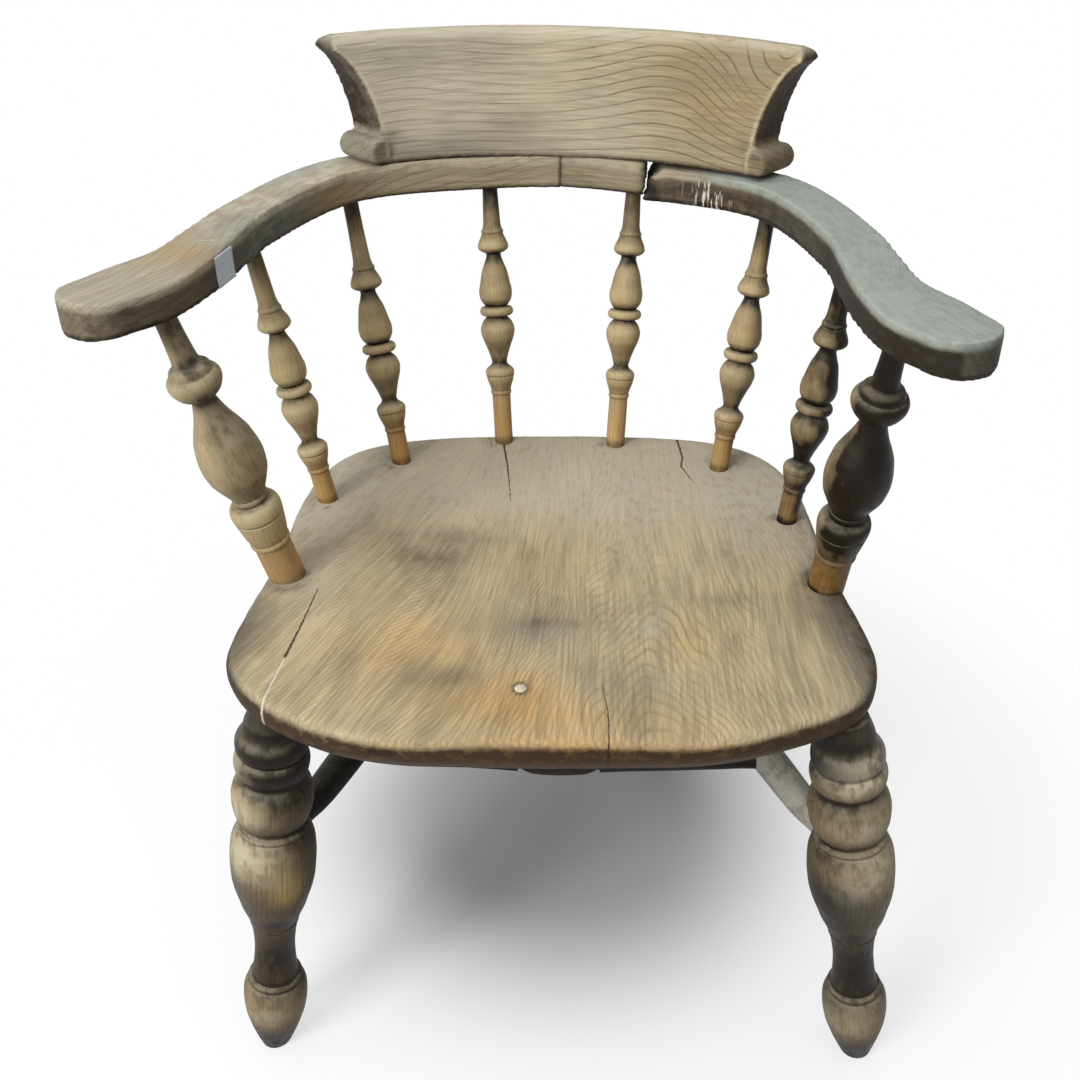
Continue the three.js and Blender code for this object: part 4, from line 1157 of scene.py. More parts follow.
@dataclass
class CrestRail:
    """The board that is screwed to the bow: curved, leaning back, hollowed at its ends.

    A patch on it is given by its strength, its middle and its reaches, along the board and up.
    """

    bow: Bow
    front_radius: float = 350.0
    setback: float = 25.0
    shift: float = 8.0
    clearance: float = 0.3
    height: float = 112.0
    foot: float = 38.0
    tip: float = 22.0
    tip_round: float = 0.9
    swell: float = 8.0
    nose: float = 9.0
    lean: float = 18.0
    half_foot: float = 169.0
    end_angle: float = 38.0
    left_angle: float = 50.0
    end_flare: float = 31.0
    # Pulls on the curve of a hollow end: two heights, and how far out the upper one is
    flare_pulls: tuple = (0.41, 0.91, 0.5)
    waist: float = 28.0
    ear: float = 12.0
    ear_out: float = 5.0
    ear_front: float = 3.0
    ear_back: float = 13.0
    ear_edge: float = 2.5
    lengths: tuple = (90, 6, 34)
    voxel: float = 2.0
    # Waves of the year rings: how high, where along the board and how long
    waves: tuple = ((-5, -45, 50), (14, 84, 50), (4, -150, 30))
    knot: Point = (192.0, 110.0)
    grimed: tuple = ((0.35, -120, 8, 60, 12), (0.2, -60, 30, 40, 14))
    warmed: tuple = ((0.3, 60, 80, 70, 30),)
    cooled: tuple = ((0.4, -20, 12, 60, 16),)

    def flare(self, height: float) -> float:
        """Finds how far an end stands out beyond its foot.

        Args:
            height: The height above the foot.

        Returns:
            The distance.
        """
        low, high, out = self.flare_pulls
        share = min(max((height - self.waist) / (self.height - self.tip / 2 - self.waist), 0), 1)
        t = share
        for _ in range(8):
            rise = 3 * (1 - t) ** 2 * t * low + 3 * (1 - t) * t * t * high + t ** 3
            t = min(max(t - (rise - share) * 0.7, 0), 1)
        over = max(height - (self.height - self.nose), 0)
        nose = self.nose - math.sqrt(max(self.nose ** 2 - over ** 2, 0))
        return self.end_flare * (3 * (1 - t) * t * t * out + t ** 3) - nose

    def section(self, depth: float, height: float) -> float:
        """Finds the radius of the board from the middle of its curve.

        Args:
            depth: The share of its depth, from 0 in front to 1 behind.
            height: The height above the foot.

        Returns:
            The radius.
        """
        share = height / self.height
        front = self.front_radius + self.lean * share
        back = self.front_radius + self.foot + self.swell * math.sin(math.pi * share)
        back += (self.lean + self.tip - self.foot) * share
        return front + (back - front) * depth

    def foot_of(self, side: float) -> Point:
        """Finds where an end starts, at the front of its foot.

        Args:
            side: Below 0 for the left end.

        Returns:
            How far back from the middle of the curve that is, and how far the end is turned.
        """
        start = math.asin(self.half_foot / self.front_radius)
        turn = math.radians(self.end_angle if side > 0 else self.left_angle)
        return self.front_radius * math.cos(start), turn

    def end(self, radius: float, height: float, side: float) -> float:
        """Finds the angle at which the board ends.

        Args:
            radius: The radius from the middle of its curve.
            height: The height above the foot.
            side: Below 0 for the left end.

        Returns:
            The angle from the middle of the board.
        """
        back, turn = self.foot_of(side)
        level = self.half_foot * math.cos(turn) - back * math.sin(turn) + self.flare(height)
        return math.asin(min(level / radius, 1)) + turn

    def board(self) -> bmesh.types.BMesh:
        """Bends the board from a straight plank that is cut into short lengths.

        Returns:
            The board without its ears.
        """
        bm = bmesh.new()
        bmesh.ops.create_cube(bm, size=2)
        for axis, count in enumerate(self.lengths):
            dice(bm, axis, 2, count)
        for vert in bm.verts:
            share, depth, rise = vert.co
            height = (rise + 1) / 2 * self.height
            radius = self.section((depth + 1) / 2, height)
            over = (height - (self.height - self.tip / 2)) / (self.tip / 2)
            if over > 0:
                middle = (self.section(0, height) + self.section(1, height)) / 2
                radius = middle + (radius - middle) * math.sqrt(1 - (self.tip_round * over) ** 2)
            angle = share * self.end(radius, height, share)
            vert.co = (radius * math.sin(angle), radius * math.cos(angle), height)
        return bm

    def ear_roll(self, bm: bmesh.types.BMesh, side: int) -> None:
        """Adds the little roll at the foot of one end.

        Args:
            bm: The board.
            side: -1 for the left end, 1 for the right one.
        """
        depth, turn = self.foot_of(side)
        out = Vector((side * math.cos(turn), -math.sin(turn), 0))
        back = Vector((side * math.sin(turn), math.cos(turn), 0))
        length = self.ear_front + self.foot + self.ear_back
        middle = Vector((side * self.half_foot, depth, self.ear)) + out * self.ear_out
        middle += back * (length / 2 - self.ear_front)
        made = bmesh.ops.create_cone(bm, cap_ends=True, segments=40, radius1=self.ear,
                                     radius2=self.ear, depth=length, matrix=along(middle, back))
        rims = [e for e in dict.fromkeys(e for v in made["verts"] for e in v.link_edges)
                if abs((e.verts[0].co - e.verts[1].co).normalized().dot(back)) < 0.1]
        behind = [e for e in rims if (e.verts[0].co - middle).dot(back) > 0]
        ahead = [e for e in rims if e not in behind]
        ease(bm, behind, self.ear * 0.55, 4)
        ease(bm, [e for e in ahead if e.is_valid], self.ear_edge, 2)

    def fields(self, points: np.ndarray) -> Fields:
        """Works out flowing year rings, dark hollow ends, grime and a painted contact shadow at the
        foot, and a worn top edge with a painted highlight.

        Args:
            points: The vertices.

        Returns:
            Values for each vertex, by attribute name.
        """
        x, y, z = points.T
        radius = np.hypot(x, y)
        angle = np.arctan2(x, y)
        run = angle * self.front_radius
        deep = radius - self.front_radius - self.lean * z / self.height
        away = np.abs(run)
        front = smoothstep(deep, 4, 1)
        # The rings sweep along the board and curl round a knot beyond its upper right corner
        swing = sum(rise * ridge(run, middle, reach) for rise, middle, reach in self.waves)
        swing = swing - 22 * smoothstep(run, 105, 175)
        rings = z - swing * np.clip(0.25 + z / 70, 0, 1.15)
        knot = np.hypot(run - self.knot[0], z - self.knot[1])
        curl = smoothstep(knot, 64, 40)
        rings = rings * (1 - curl) + (105 + 0.62 * (47 - knot)) * curl + 0.55 * deep
        figure = 0.5 + 0.5 * smoothstep(run, -60, 90) + 0.5 * waver(points, 45, 31.0)

        # Distance from the end of the board, measured along it
        nearest = self.front_radius + 2
        ends = np.array([self.end(max(r, nearest), h, s) for r, h, s in zip(radius, z, x)])
        inset = (ends - np.abs(angle)) * self.front_radius
        hollow = smoothstep(inset, 3.0, 0.8) * smoothstep(z, 26, 34)
        # Grime in patches, and a painted contact shadow along the foot of the front face
        grime_and_shade = patches(run, z, self.grimed) + 0.8 * smoothstep(z, 6, 0) * front
        grime_and_shade = grime_and_shade + 0.3 * smoothstep(away, 172, 182) * smoothstep(z, 30, 20)
        grime_and_shade = grime_and_shade + hollow * (0.8 + 0.25 * smoothstep(deep, 6, 20))
        ear = smoothstep(away, 150, 172) * smoothstep(z, 34, 26) * smoothstep(z, 8, 24)
        grime_and_shade = grime_and_shade + 0.3 * ear
        warm = 0.8 * smoothstep(run, 30, 130) + patches(run, z, self.warmed)
        cool = 0.75 * smoothstep(run, -20, -110) + patches(run, z, self.cooled)
        worn = 0.7 * ridge(inset, 3.5, 2.2) * front
        # The top edge is worn and painted with a highlight
        worn = worn + 0.4 * smoothstep(z, self.height - 7, self.height - 2)
        dust = 0.25 * smoothstep(z, self.height - 12, self.height - 2)
        return {"grain": np.stack([z, deep, run], 1), "rings": rings,
                "figure": np.clip(figure, 0.12, 1),
                **coat(dust, grime_and_shade, np.clip(worn, 0, 1), warm, cool)}

    def build(self, shop: Workshop) -> None:
        """Models the crest rail and hands it over.

        Args:
            shop: The workshop that finishes it.
        """
        bm = self.board()
        for side in (-1, 1):
            self.ear_roll(bm, side)
        bm = skin(bm, self.voxel, 1)
        points = points_of(bm)
        worn = points.copy()
        worn[:, 1] += 0.3 * waver(points, 30, 4.0)
        worn[:, 2] += 0.3 * waver(points, 40, 6.0)
        put_points(bm, worn)
        stand = self.bow.frame() @ Matrix.Translation(
            (self.shift, -self.setback - self.front_radius, self.bow.thickness + self.clearance))
        shop.finish("crest_board", bm, stand, Finish.CREST, "crest_rail", "crest_wood",
                    self.fields(points))


# Turned work


def bead(low: float, high: float, base: float, full: float) -> list[Point]:
    """Draws a half round ring between two heights on a stem.

    Args:
        low: The height at which it starts.
        high: The height at which it ends.
        base: The diameter of the stem.
        full: The diameter of the ring.

    Returns:
        The key points of the ring, as (height, diameter).
    """
    half = (high - low) / 2
    turns = np.linspace(math.pi, 0, 9)
    ring = [(low + half + half * math.cos(a), base + (full - base) * math.sin(a)) for a in turns]
    return [(low, base), *ring, (high, base)]


def smooth_outline(keys: list[Point], step: float) -> np.ndarray:
    """Draws a smooth turned outline through its key points, without overshoot between them.

    Args:
        keys: Points as (height, diameter); two at one height make a step or a crisp corner.
        step: The distance between points of the outline.

    Returns:
        Heights and diameters, one pair a row.
    """
    runs, run = [], [keys[0]]
    for last, key in zip(keys, keys[1:]):
        if abs(key[0] - last[0]) < TOUCHING:
            runs.append(run)
            run = []
        run.append(key)
    runs.append(run)
    made = []
    for run in runs:
        t, d = np.array(run).T
        if len(run) < 2:
            made += run
            continue
        gaps = np.diff(t)
        slopes = np.diff(d) / gaps
        tangent = np.concatenate([slopes[:1], np.zeros(len(t) - 2), slopes[-1:]])
        for i in range(1, len(t) - 1):
            if slopes[i - 1] * slopes[i] > 0:
                a, b = 2 * gaps[i] + gaps[i - 1], gaps[i] + 2 * gaps[i - 1]
                tangent[i] = (a + b) / (a / slopes[i - 1] + b / slopes[i])
        for i, gap in enumerate(gaps):
            count = max(math.ceil(gap / step), 1)
            for s in np.arange(count) / count:
                h = (2 * s ** 3 - 3 * s ** 2 + 1, s ** 3 - 2 * s ** 2 + s,
                     -2 * s ** 3 + 3 * s ** 2, s ** 3 - s ** 2)
                made.append((t[i] + s * gap, h[0] * d[i] + h[1] * gap * tangent[i]
                             + h[2] * d[i + 1] + h[3] * gap * tangent[i + 1]))
        made.append((t[-1], d[-1]))
    return np.array(made)


@dataclass(frozen=True)
class Stain:
    """How one turned piece is coloured, painted shade and highlights included: each share runs from 0
    to 1 or a little over.
    """

    base_warm: float = 0.8
    warm: float = 0.25
    grime_and_shade: float = 0.15
    top_darkening: float = 0.6
    recess: float = 0.75
    worn: float = 0.6
    dark_from: float = 0.0
    dark_side: float = 0.0
    dark: float = 0.0
    dust: float = 0.0
    under: float = 0.3


class Mark(Enum):
    """What a patch on a turned piece is of."""

    WARM = "warm"
    COOL = "cool"
    DUST_AND_HIGHLIGHT = "dust"
    GRIME_AND_SHADE = "grime_and_shade"


@dataclass(frozen=True)
class Patch:
    """A soft patch on a turned piece, at a height and an angle, in millimetres and radians."""

    mark: Mark
    height: float
    way: float
    reach: float
    spread: float
    amount: float


@dataclass
class Turned:
    """One lathe-turned piece between two points."""

    name: str
    node: str
    slot: str
    look: Finish
    low: Vector
    high: Vector
    keys: list[Point]
    stain: Stain
    segments: int = 48
    step: float = 1.6
    seed: float = 0.0
    floor: bool = False
    out_of_round: float = 0.25
    marks: tuple = ()

    def model(self) -> bmesh.types.BMesh:
        """Spins the outline round the axis.

        Returns:
            The closed piece, which stands on the origin.
        """
        outline = smooth_outline(self.keys, self.step)
        bm = bmesh.new()
        ends = [(outline[0][0], 0.0), *outline, (outline[-1][0], 0.0)]
        verts = [bm.verts.new((d / 2, 0, t)) for t, d in ends]
        edges = [bm.edges.new(pair) for pair in zip(verts, verts[1:])
                 if (pair[0].co - pair[1].co).length > TOUCHING]
        bmesh.ops.spin(bm, geom=verts + edges, cent=(0, 0, 0), axis=(0, 0, 1),
                       angle=2 * math.pi, steps=self.segments, use_merge=True)
        bmesh.ops.remove_doubles(bm, verts=bm.verts, dist=1e-4)
        bmesh.ops.recalc_face_normals(bm, faces=bm.faces)
        return bm

    def profile(self, heights: np.ndarray) -> tuple[np.ndarray, np.ndarray, np.ndarray]:
        """Reads the turning for its recesses and undersides, which get grime and painted shade, and
        its proud beads, which get wear and a painted highlight.

        Args:
            heights: The height of each vertex.

        Returns:
            How deep in a recess, how proud and how far on an underside each one is.
        """
        outline = smooth_outline(self.keys, 1.0)
        levels = np.arange(outline[0][0], outline[-1][0], 1.0)
        rising = outline[:, 0] + np.arange(len(outline)) * TOUCHING
        radii = np.interp(levels, rising, outline[:, 1] / 2)
        wide = np.array([radii[max(i - 9, 0):i + 10].max() for i in range(len(radii))])
        wide = np.convolve(np.pad(wide, 6, "edge"), np.ones(13) / 13, "valid")
        mean = np.convolve(np.pad(radii, 8, "edge"), np.ones(17) / 17, "valid")
        scale = radii.max()
        recess = np.clip((wide - radii - 0.6) / (0.3 * scale), 0, 1)
        proud = np.clip((radii - mean) / (0.07 * scale), 0, 1)
        under = smoothstep(np.gradient(radii), 0.1, 0.8)
        return tuple(np.interp(heights, levels, share) for share in (recess, proud, under))

    def fields(self, points: np.ndarray) -> Fields:
        """Works out grain along the axis, grime and painted shade in the recesses and under the beads,
        a darker top and side, and wear with a painted highlight on the beads.

        Args:
            points: The vertices.

        Returns:
            Values for each vertex, by attribute name.
        """
        x, y, t = points.T
        stain = self.stain
        length = (self.high - self.low).length
        angle = np.arctan2(y, x)
        recess, proud, under = self.profile(t)
        warm = stain.warm + (stain.base_warm - stain.warm) * smoothstep(t, 70, 25)
        cool = np.clip(0.5 * waver(points * (1, 1, 0.7), 38, self.seed), 0, 1)
        # Painted shade in the recesses and on the undersides of the beads, over an even grime
        grime_and_shade = stain.grime_and_shade + stain.recess * recess ** 1.3 + stain.under * under
        # Darker towards the top, which on a leg is painted shade under the seat
        grime_and_shade = grime_and_shade + stain.top_darkening * smoothstep(t, length - 60, length - 4)
        grime_and_shade = grime_and_shade + 0.5 * smoothstep(t, 9, 1) * (not self.floor)
        # One side darker: painted shade on the side away from the lamps, but grime on the front of the
        # right support
        facing = smoothstep(0.5 + 0.5 * np.cos(angle - stain.dark_side), 0.35, 0.75)
        dark = stain.dark * smoothstep(t, stain.dark_from, stain.dark_from + 30)
        grime_and_shade = grime_and_shade + dark * facing
        # Wear on the proud beads, which also paints their highlights
        worn = stain.worn * proud * (1 - smoothstep(recess, 0.2, 0.5))
        dust = np.full(len(t), stain.dust)
        for patch in self.marks:
            turned = np.abs((angle - patch.way + math.pi) % (2 * math.pi) - math.pi)
            added = ridge(t, patch.height, patch.reach) * ridge(turned, 0, patch.spread)
            added = added * patch.amount
            if patch.mark is Mark.WARM:
                warm, worn, grime_and_shade = warm + added, worn + 0.4 * added, grime_and_shade - added
            elif patch.mark is Mark.DUST_AND_HIGHLIGHT:
                dust, grime_and_shade = dust + added, grime_and_shade - 0.7 * added
            elif patch.mark is Mark.COOL:
                cool = cool + added
            else:
                grime_and_shade = grime_and_shade + added
        grain = np.stack([x + self.seed, y, t + self.seed * 3], 1)
        return {"grain": grain, "rings": x + 0.4 * y + 6,
                **coat(dust, grime_and_shade, np.clip(worn, 0, 1), warm, cool, thickest=1.4)}

    def build(self, shop: Workshop) -> None:
        """Models the piece and hands it over.

        Args:
            shop: The workshop that finishes it.
        """
        bm = self.model()
        stand = along(self.low, self.high - self.low)
        if self.floor:
            turned = stand.inverted()
            cut(bm, turned.translation, turned.to_3x3() @ Vector((0, 0, 1)), behind=True)
        points = points_of(bm)
        fields = self.fields(points)
        # A dry stick is no longer quite round, but for a foot that stands on the floor
        radius = np.maximum(np.hypot(points[:, 0], points[:, 1]), 6)
        uneven = 1 + self.out_of_round * waver(points, 42, self.seed + 11) / radius
        if self.floor:
            uneven = np.where(points[:, 2] > 6, uneven, 1)
        points[:, :2] *= uneven[:, None]
        put_points(bm, points)
        shop.finish(self.name, bm, stand, self.look, self.node, self.slot, fields)


@dataclass
class Uprights:
    """The eight turned sticks that carry the bow: two thick supports and six thin spindles."""

    seat: Seat
    bow: Bow
    seat_socket: float = 24.0
    bow_socket: float = 19.0
    socket_play: float = 0.3
    # Height of the plain foot of a spindle: at the sides, and at the back, as its keys are drawn
    plain: float = 33.0
    plain_back: float = 51.0
    foot_width: float = 19.0
    tip_width: float = 14.6
    spindle_keys: tuple = (
        (50.5, 18.8), *bead(50.5, 55, 18.8, 21), (55, 19.8), (59, 21.8), (65, 26), (70, 28.2),
        (70, 28.2), *bead(70, 71.2, 28.2, 26.6), (71.2, 28.8), (74.6, 29.3), (76.6, 27.8),
        (79, 23), (81, 18), (84, 15.4), (90, 18), (102, 26), (110, 32), (117.4, 34.6),
        (124.6, 30.5), (129, 24), (130, 22), (130, 22), (132, 22), *bead(132, 140.6, 27, 33.6),
        (140.6, 22), (142.4, 22), (142.4, 23.5), (145, 27.2), (150, 32), (156, 33.2), (165, 30),
        (178, 24.5), (185, 19), (192, 15), (194, 15.4), (194, 15.4), (195, 21), (197, 27.5),
        (199.8, 30.8), (203, 29.8), (206.7, 26.8), (211, 22.8), (213, 21.4),
        *bead(213, 217, 20, 22), (217, 20), (219, 18.8), (223, 17.2), (232, 16.4))
    thick_foot_width: float = 32.0
    thick_tip_width: float = 18.0
    support_keys: tuple = (
        (38, 32), (39.5, 32), *bead(39.5, 45, 32.4, 35.6), (45, 33.6), (50, 36.6), (62, 41),
        (69.3, 43.4), *bead(69.3, 70.8, 43.4, 41), (70.8, 43.8), (76, 44.8), (80.5, 43.6),
        (83.6, 40), (85, 35), (85.4, 28), (85.4, 28), (87.2, 28), *bead(87.2, 92.8, 28, 31.4),
        (92.8, 29.4), (98, 34), (106, 42), (117, 51), (130, 54), (150, 48.4), (160, 41),
        (172, 30.4), (185, 22), (191, 19.4), (192.4, 19.6), (192.4, 22), (194, 30), (200, 40),
        (205, 44), (208, 44.6), (212, 42), (214, 38.4), (214, 36.6), (216, 35.4), (219, 33),
        (222, 25.5), (222, 25.5), (224, 22.6), (230, 20.6))

    def outline(self, length: float, thick: bool, plain: float) -> list[Point]:
        """Draws an upright, from its socket in the seat to the one in the bow.

        Args:
            length: The length between the two sockets.
            thick: Whether it is a support.
            plain: The height of a spindle's plain foot.

        Returns:
            The key points, as (height, diameter).
        """
        if thick:
            keys, foot, tip = list(self.support_keys), self.thick_foot_width, self.thick_tip_width
        else:
            raised = plain - self.plain_back
            keys = [(height + raised, width) for height, width in self.spindle_keys]
            foot, tip = self.foot_width, self.tip_width
        return [(self.socket_play - self.seat_socket, foot), *keys, (length, tip),
                (length + self.bow_socket - self.socket_play, tip)]

    def build(self, shop: Workshop) -> None:
        """Models the eight uprights and hands them over.

        Args:
            shop: The workshop that finishes them.
        """
        # A dark side is painted shade on the side away from the key lamp, but on the right support it
        # is grime across its front
        stains = {
            "spindle_left_1": Stain(top_darkening=0.7, grime_and_shade=0.05),
            "spindle_left_2": Stain(top_darkening=0.7),
            "spindle_left_3": Stain(top_darkening=0.8, base_warm=0.6),
            "spindle_right_1": Stain(top_darkening=0.9, grime_and_shade=0.6, dark=0.6, dark_side=0.2, warm=0.4),
            "spindle_right_2": Stain(top_darkening=0.8, dark=0.3, dark_side=0.2, warm=0.3),
            "spindle_right_3": Stain(top_darkening=0.6, base_warm=0.5),
            "arm_support_left": Stain(base_warm=1.0, grime_and_shade=0.04, dark=0.4, dark_side=-0.2,
                                      dark_from=90, top_darkening=0.4, dust=0.2),
            "arm_support_right": Stain(base_warm=0.9, grime_and_shade=0.58, dark=0.55, dark_side=-1.2,
                                       dark_from=40, top_darkening=0.8, worn=0.3),
        }
        count = len(self.bow.sockets)
        for index, (x, y, _) in enumerate(self.seat.holes):
            order, right = index % count, index >= count
            across, back = self.bow.sockets[order]
            last = order == count - 1
            thick = order == 0
            top = self.bow.frame(right and not last) @ Vector((across if right else -across, back, 0))
            foot = Vector((x, y, self.seat.top))
            side = "right" if right else "left"
            node = f"arm_support_{side}" if thick else f"spindle_{side}_{order}"
            keys = self.outline((top - foot).length, thick, self.plain_back if last else self.plain)
            Turned(f"turned_{node}", node, "spindle_wood", Finish.SPINDLE, foot, top, keys,
                   stains[node], segments=56 if thick else 40, step=1.4,
                   seed=17.0 * index + 3).build(shop)


@dataclass
class Base:
    """The four turned legs and the bars that join them."""

    underside: float = 388.0
    feet: tuple = ((-260, -206), (298, -195), (-137, 238), (130, 238))
    tops: tuple = ((-219, -184), (244, -180), (-92, 135), (88, 135))
    names: tuple = ("leg_front_left", "leg_front_right", "leg_rear_left", "leg_rear_right")
    bar_height: float = 240.0
    belly: float = 74.0
    bar_width: float = 33.0
    places: Point = (0.31, 0.66)
    leg_keys: tuple = (
        (-12, 27), (-2, 27), (3, 30.5), (15, 38.6), (30, 48), (48, 56.4), (62, 58.6), (72, 57.6),
        (78, 54), (81.6, 48.8), *bead(81.6, 88, 44, 49), (88, 42.4), (93, 40.6), (104, 37.4),
        (117, 36), (131, 38), (141, 41.4), (142, 41.8), *bead(142, 145, 42, 43.2), (145, 42.8),
        (155, 48.5), (167, 57), (178, 62.4), (193, 69.6), (206, 73), (225, 74.2), (243, 72),
        (253, 66.4), (259, 60), (259, 60), *bead(259, 264, 58, 61.4), (264, 54), (267.5, 52.6),
        (267.5, 52.6), (270, 57), (275, 61.6), (286, 67), (297, 68.6), (308, 65.4), (315, 58.4),
        (319, 53), (321, 52.4), (321, 52.4), (324, 57.4), (329, 61.6), (335, 63), (340, 60.8),
        (343, 56), (343, 55), (345, 55), (346, 57), (351, 59.8), (357, 59.6), (363, 56),
        (367, 50.5), (367, 50.5), (371, 48.4), (379, 45.6), (387, 44))
    # Heights of steps in these keys, and the heights at which the photograph has them
    drawn: tuple = (-12, 0, 81, 88, 142, 225, 264, 321, 344, 367, 387)
    seen: tuple = (-12, 0, 86, 93, 163, 244, 282, 336, 360, 380, 391)
    tenon: tuple = ((3, 42), (15, 34))
    # Half of a side bar and of a cross bar: distances from the shoulder, or from the middle
    side_half: tuple = ((-19.7, 19), (6, 19), (14, 20), (30, 25.4), (50, 29))
    cross_end: tuple = ((-10.7, 14), (8, 14), (30, 16.6))
    cross_middle: tuple = ((-60, 24.6), (-39, 27), (-39, 22), (-35, 22), (-35, 24), (-24, 31.4))
    bulb_width: float = 34.0
    # What marks the left and the right front leg, and what marks all four. Dust marks also paint
    # highlights, grime marks also paint shade.
    front_marks: tuple = (
        (Patch(Mark.WARM, 232, -1.0, 17, 0.34, 1.0), Patch(Mark.DUST_AND_HIGHLIGHT, 260, -2.1, 20, 0.9, 1.0),
         Patch(Mark.DUST_AND_HIGHLIGHT, 311, -2.4, 13, 0.8, 1.1), Patch(Mark.COOL, 222, -2.4, 25, 0.7, 0.9),
         Patch(Mark.DUST_AND_HIGHLIGHT, 352, -2.9, 9, 0.6, 0.6), Patch(Mark.GRIME_AND_SHADE, 350, -0.9, 34, 0.9, 0.9),
         Patch(Mark.GRIME_AND_SHADE, 225, -0.1, 60, 0.5, 0.5)),
        (Patch(Mark.DUST_AND_HIGHLIGHT, 258, -0.9, 20, 0.9, 1.0), Patch(Mark.DUST_AND_HIGHLIGHT, 310, -0.9, 13, 1.1, 0.9),
         Patch(Mark.COOL, 225, -1.8, 28, 0.8, 1.0), Patch(Mark.DUST_AND_HIGHLIGHT, 353, -1.0, 9, 1.2, 0.9),
         Patch(Mark.DUST_AND_HIGHLIGHT, 371, -0.9, 9, 1.1, 0.8), Patch(Mark.GRIME_AND_SHADE, 222, -2.5, 40, 0.8, 0.6),
         Patch(Mark.GRIME_AND_SHADE, 130, 0.0, 30, 9.0, 0.35)))
    every_mark: tuple = (
        Patch(Mark.DUST_AND_HIGHLIGHT, 62, -1.6, 18, 1.6, 0.5), Patch(Mark.GRIME_AND_SHADE, 4, 0.0, 20, 9.0, 1.3),
        Patch(Mark.GRIME_AND_SHADE, 128, 0.0, 32, 9.0, 0.55), Patch(Mark.GRIME_AND_SHADE, 386, 0.0, 20, 9.0, 0.8))

    def leg(self, length: float) -> list[Point]:
        """Draws a leg, from below the floor into the underside of the seat.

        Args:
            length: The length from the floor to the seat.

        Returns:
            The key points, as (height, diameter).
        """
        heights = np.interp([t for t, _ in self.leg_keys], self.drawn, self.seen)
        keys = [(float(t), width) for t, (_, width) in zip(heights, self.leg_keys)]
        return keys + [(length + t, width) for t, width in self.tenon]

    def bar(self, length: float, end: tuple, middle: tuple, width: float) -> list[Point]:
        """Draws a bar that is the same at both ends.

        Args:
            length: The length between the two shoulders.
            end: Key points of one end, from its shoulder.
            middle: Key points of one side of the middle, from the middle.
            width: The diameter in the middle.

        Returns:
            The key points, as (distance, diameter).
        """
        half = [*end, *((length / 2 + t, across) for t, across in middle)]
        return [*half, (length / 2, width), *((length - t, across) for t, across in half[::-1])]

    def between(self, start: Vector, end: Vector, radius: float) -> tuple[Vector, Vector]:
        """The line between two axes, shortened by the radius of what it enters."""
        run = (end - start).normalized() * radius
        return start + run, end - run

    def build(self, shop: Workshop) -> None:
        """Models the legs and bars and hands them over.

        Args:
            shop: The workshop that finishes them.
        """
        # Legs: painted shade in the coves, under the beads and at the top under the seat, besides
        # their grime
        stain = Stain(base_warm=0.1, warm=0.2, grime_and_shade=0.42, top_darkening=0.9, recess=1.6, worn=0.7,
                      under=0.75)
        spots = []
        for index, name in enumerate(self.names):
            low = Vector((*self.feet[index], 0))
            high = Vector((*self.tops[index], self.underside))
            spots.append(low.lerp(high, self.bar_height / self.underside))
            own = self.front_marks[index] if index < len(self.front_marks) else ()
            Turned(f"turned_{name}", name, "leg_wood", Finish.LEG, low, high,
                   self.leg((high - low).length), stain, segments=64, step=1.8,
                   seed=31.0 * index + 5, floor=True, out_of_round=0.4,
                   marks=self.every_mark + own).build(shop)
        dark = Stain(base_warm=0.0, warm=0.0, grime_and_shade=1.0, recess=0.6, worn=0.1)
        dusty = Stain(base_warm=0.1, warm=0.1, grime_and_shade=0.3, top_darkening=0.3, recess=0.6, worn=0.3,
                      dust=0.75)
        sides = [self.between(spots[i], spots[i + 2], self.belly / 2) for i in (0, 1)]
        for side, shade, (start, end) in zip(("left", "right"), (dark, dusty), sides):
            node = f"side_stretcher_{side}"
            keys = self.bar((end - start).length, self.side_half, (), self.bar_width)
            Turned(f"shaved_{node}", node, "stretcher_wood", Finish.STRETCHER, start, end, keys,
                   shade, segments=36, step=3.0, seed=70.0).build(shop)
        for place, name in zip(self.places, ("front", "rear")):
            start, end = self.between(*(a.lerp(b, place) for a, b in sides), self.bar_width / 2)
            node = f"cross_stretcher_{name}"
            keys = self.bar((end - start).length, self.cross_end, self.cross_middle,
                            self.bulb_width)
            Turned(f"turned_{node}", node, "stretcher_wood", Finish.STRETCHER, start, end, keys,
                   dark, segments=36, step=2.5, seed=90.0).build(shop)


# Small things


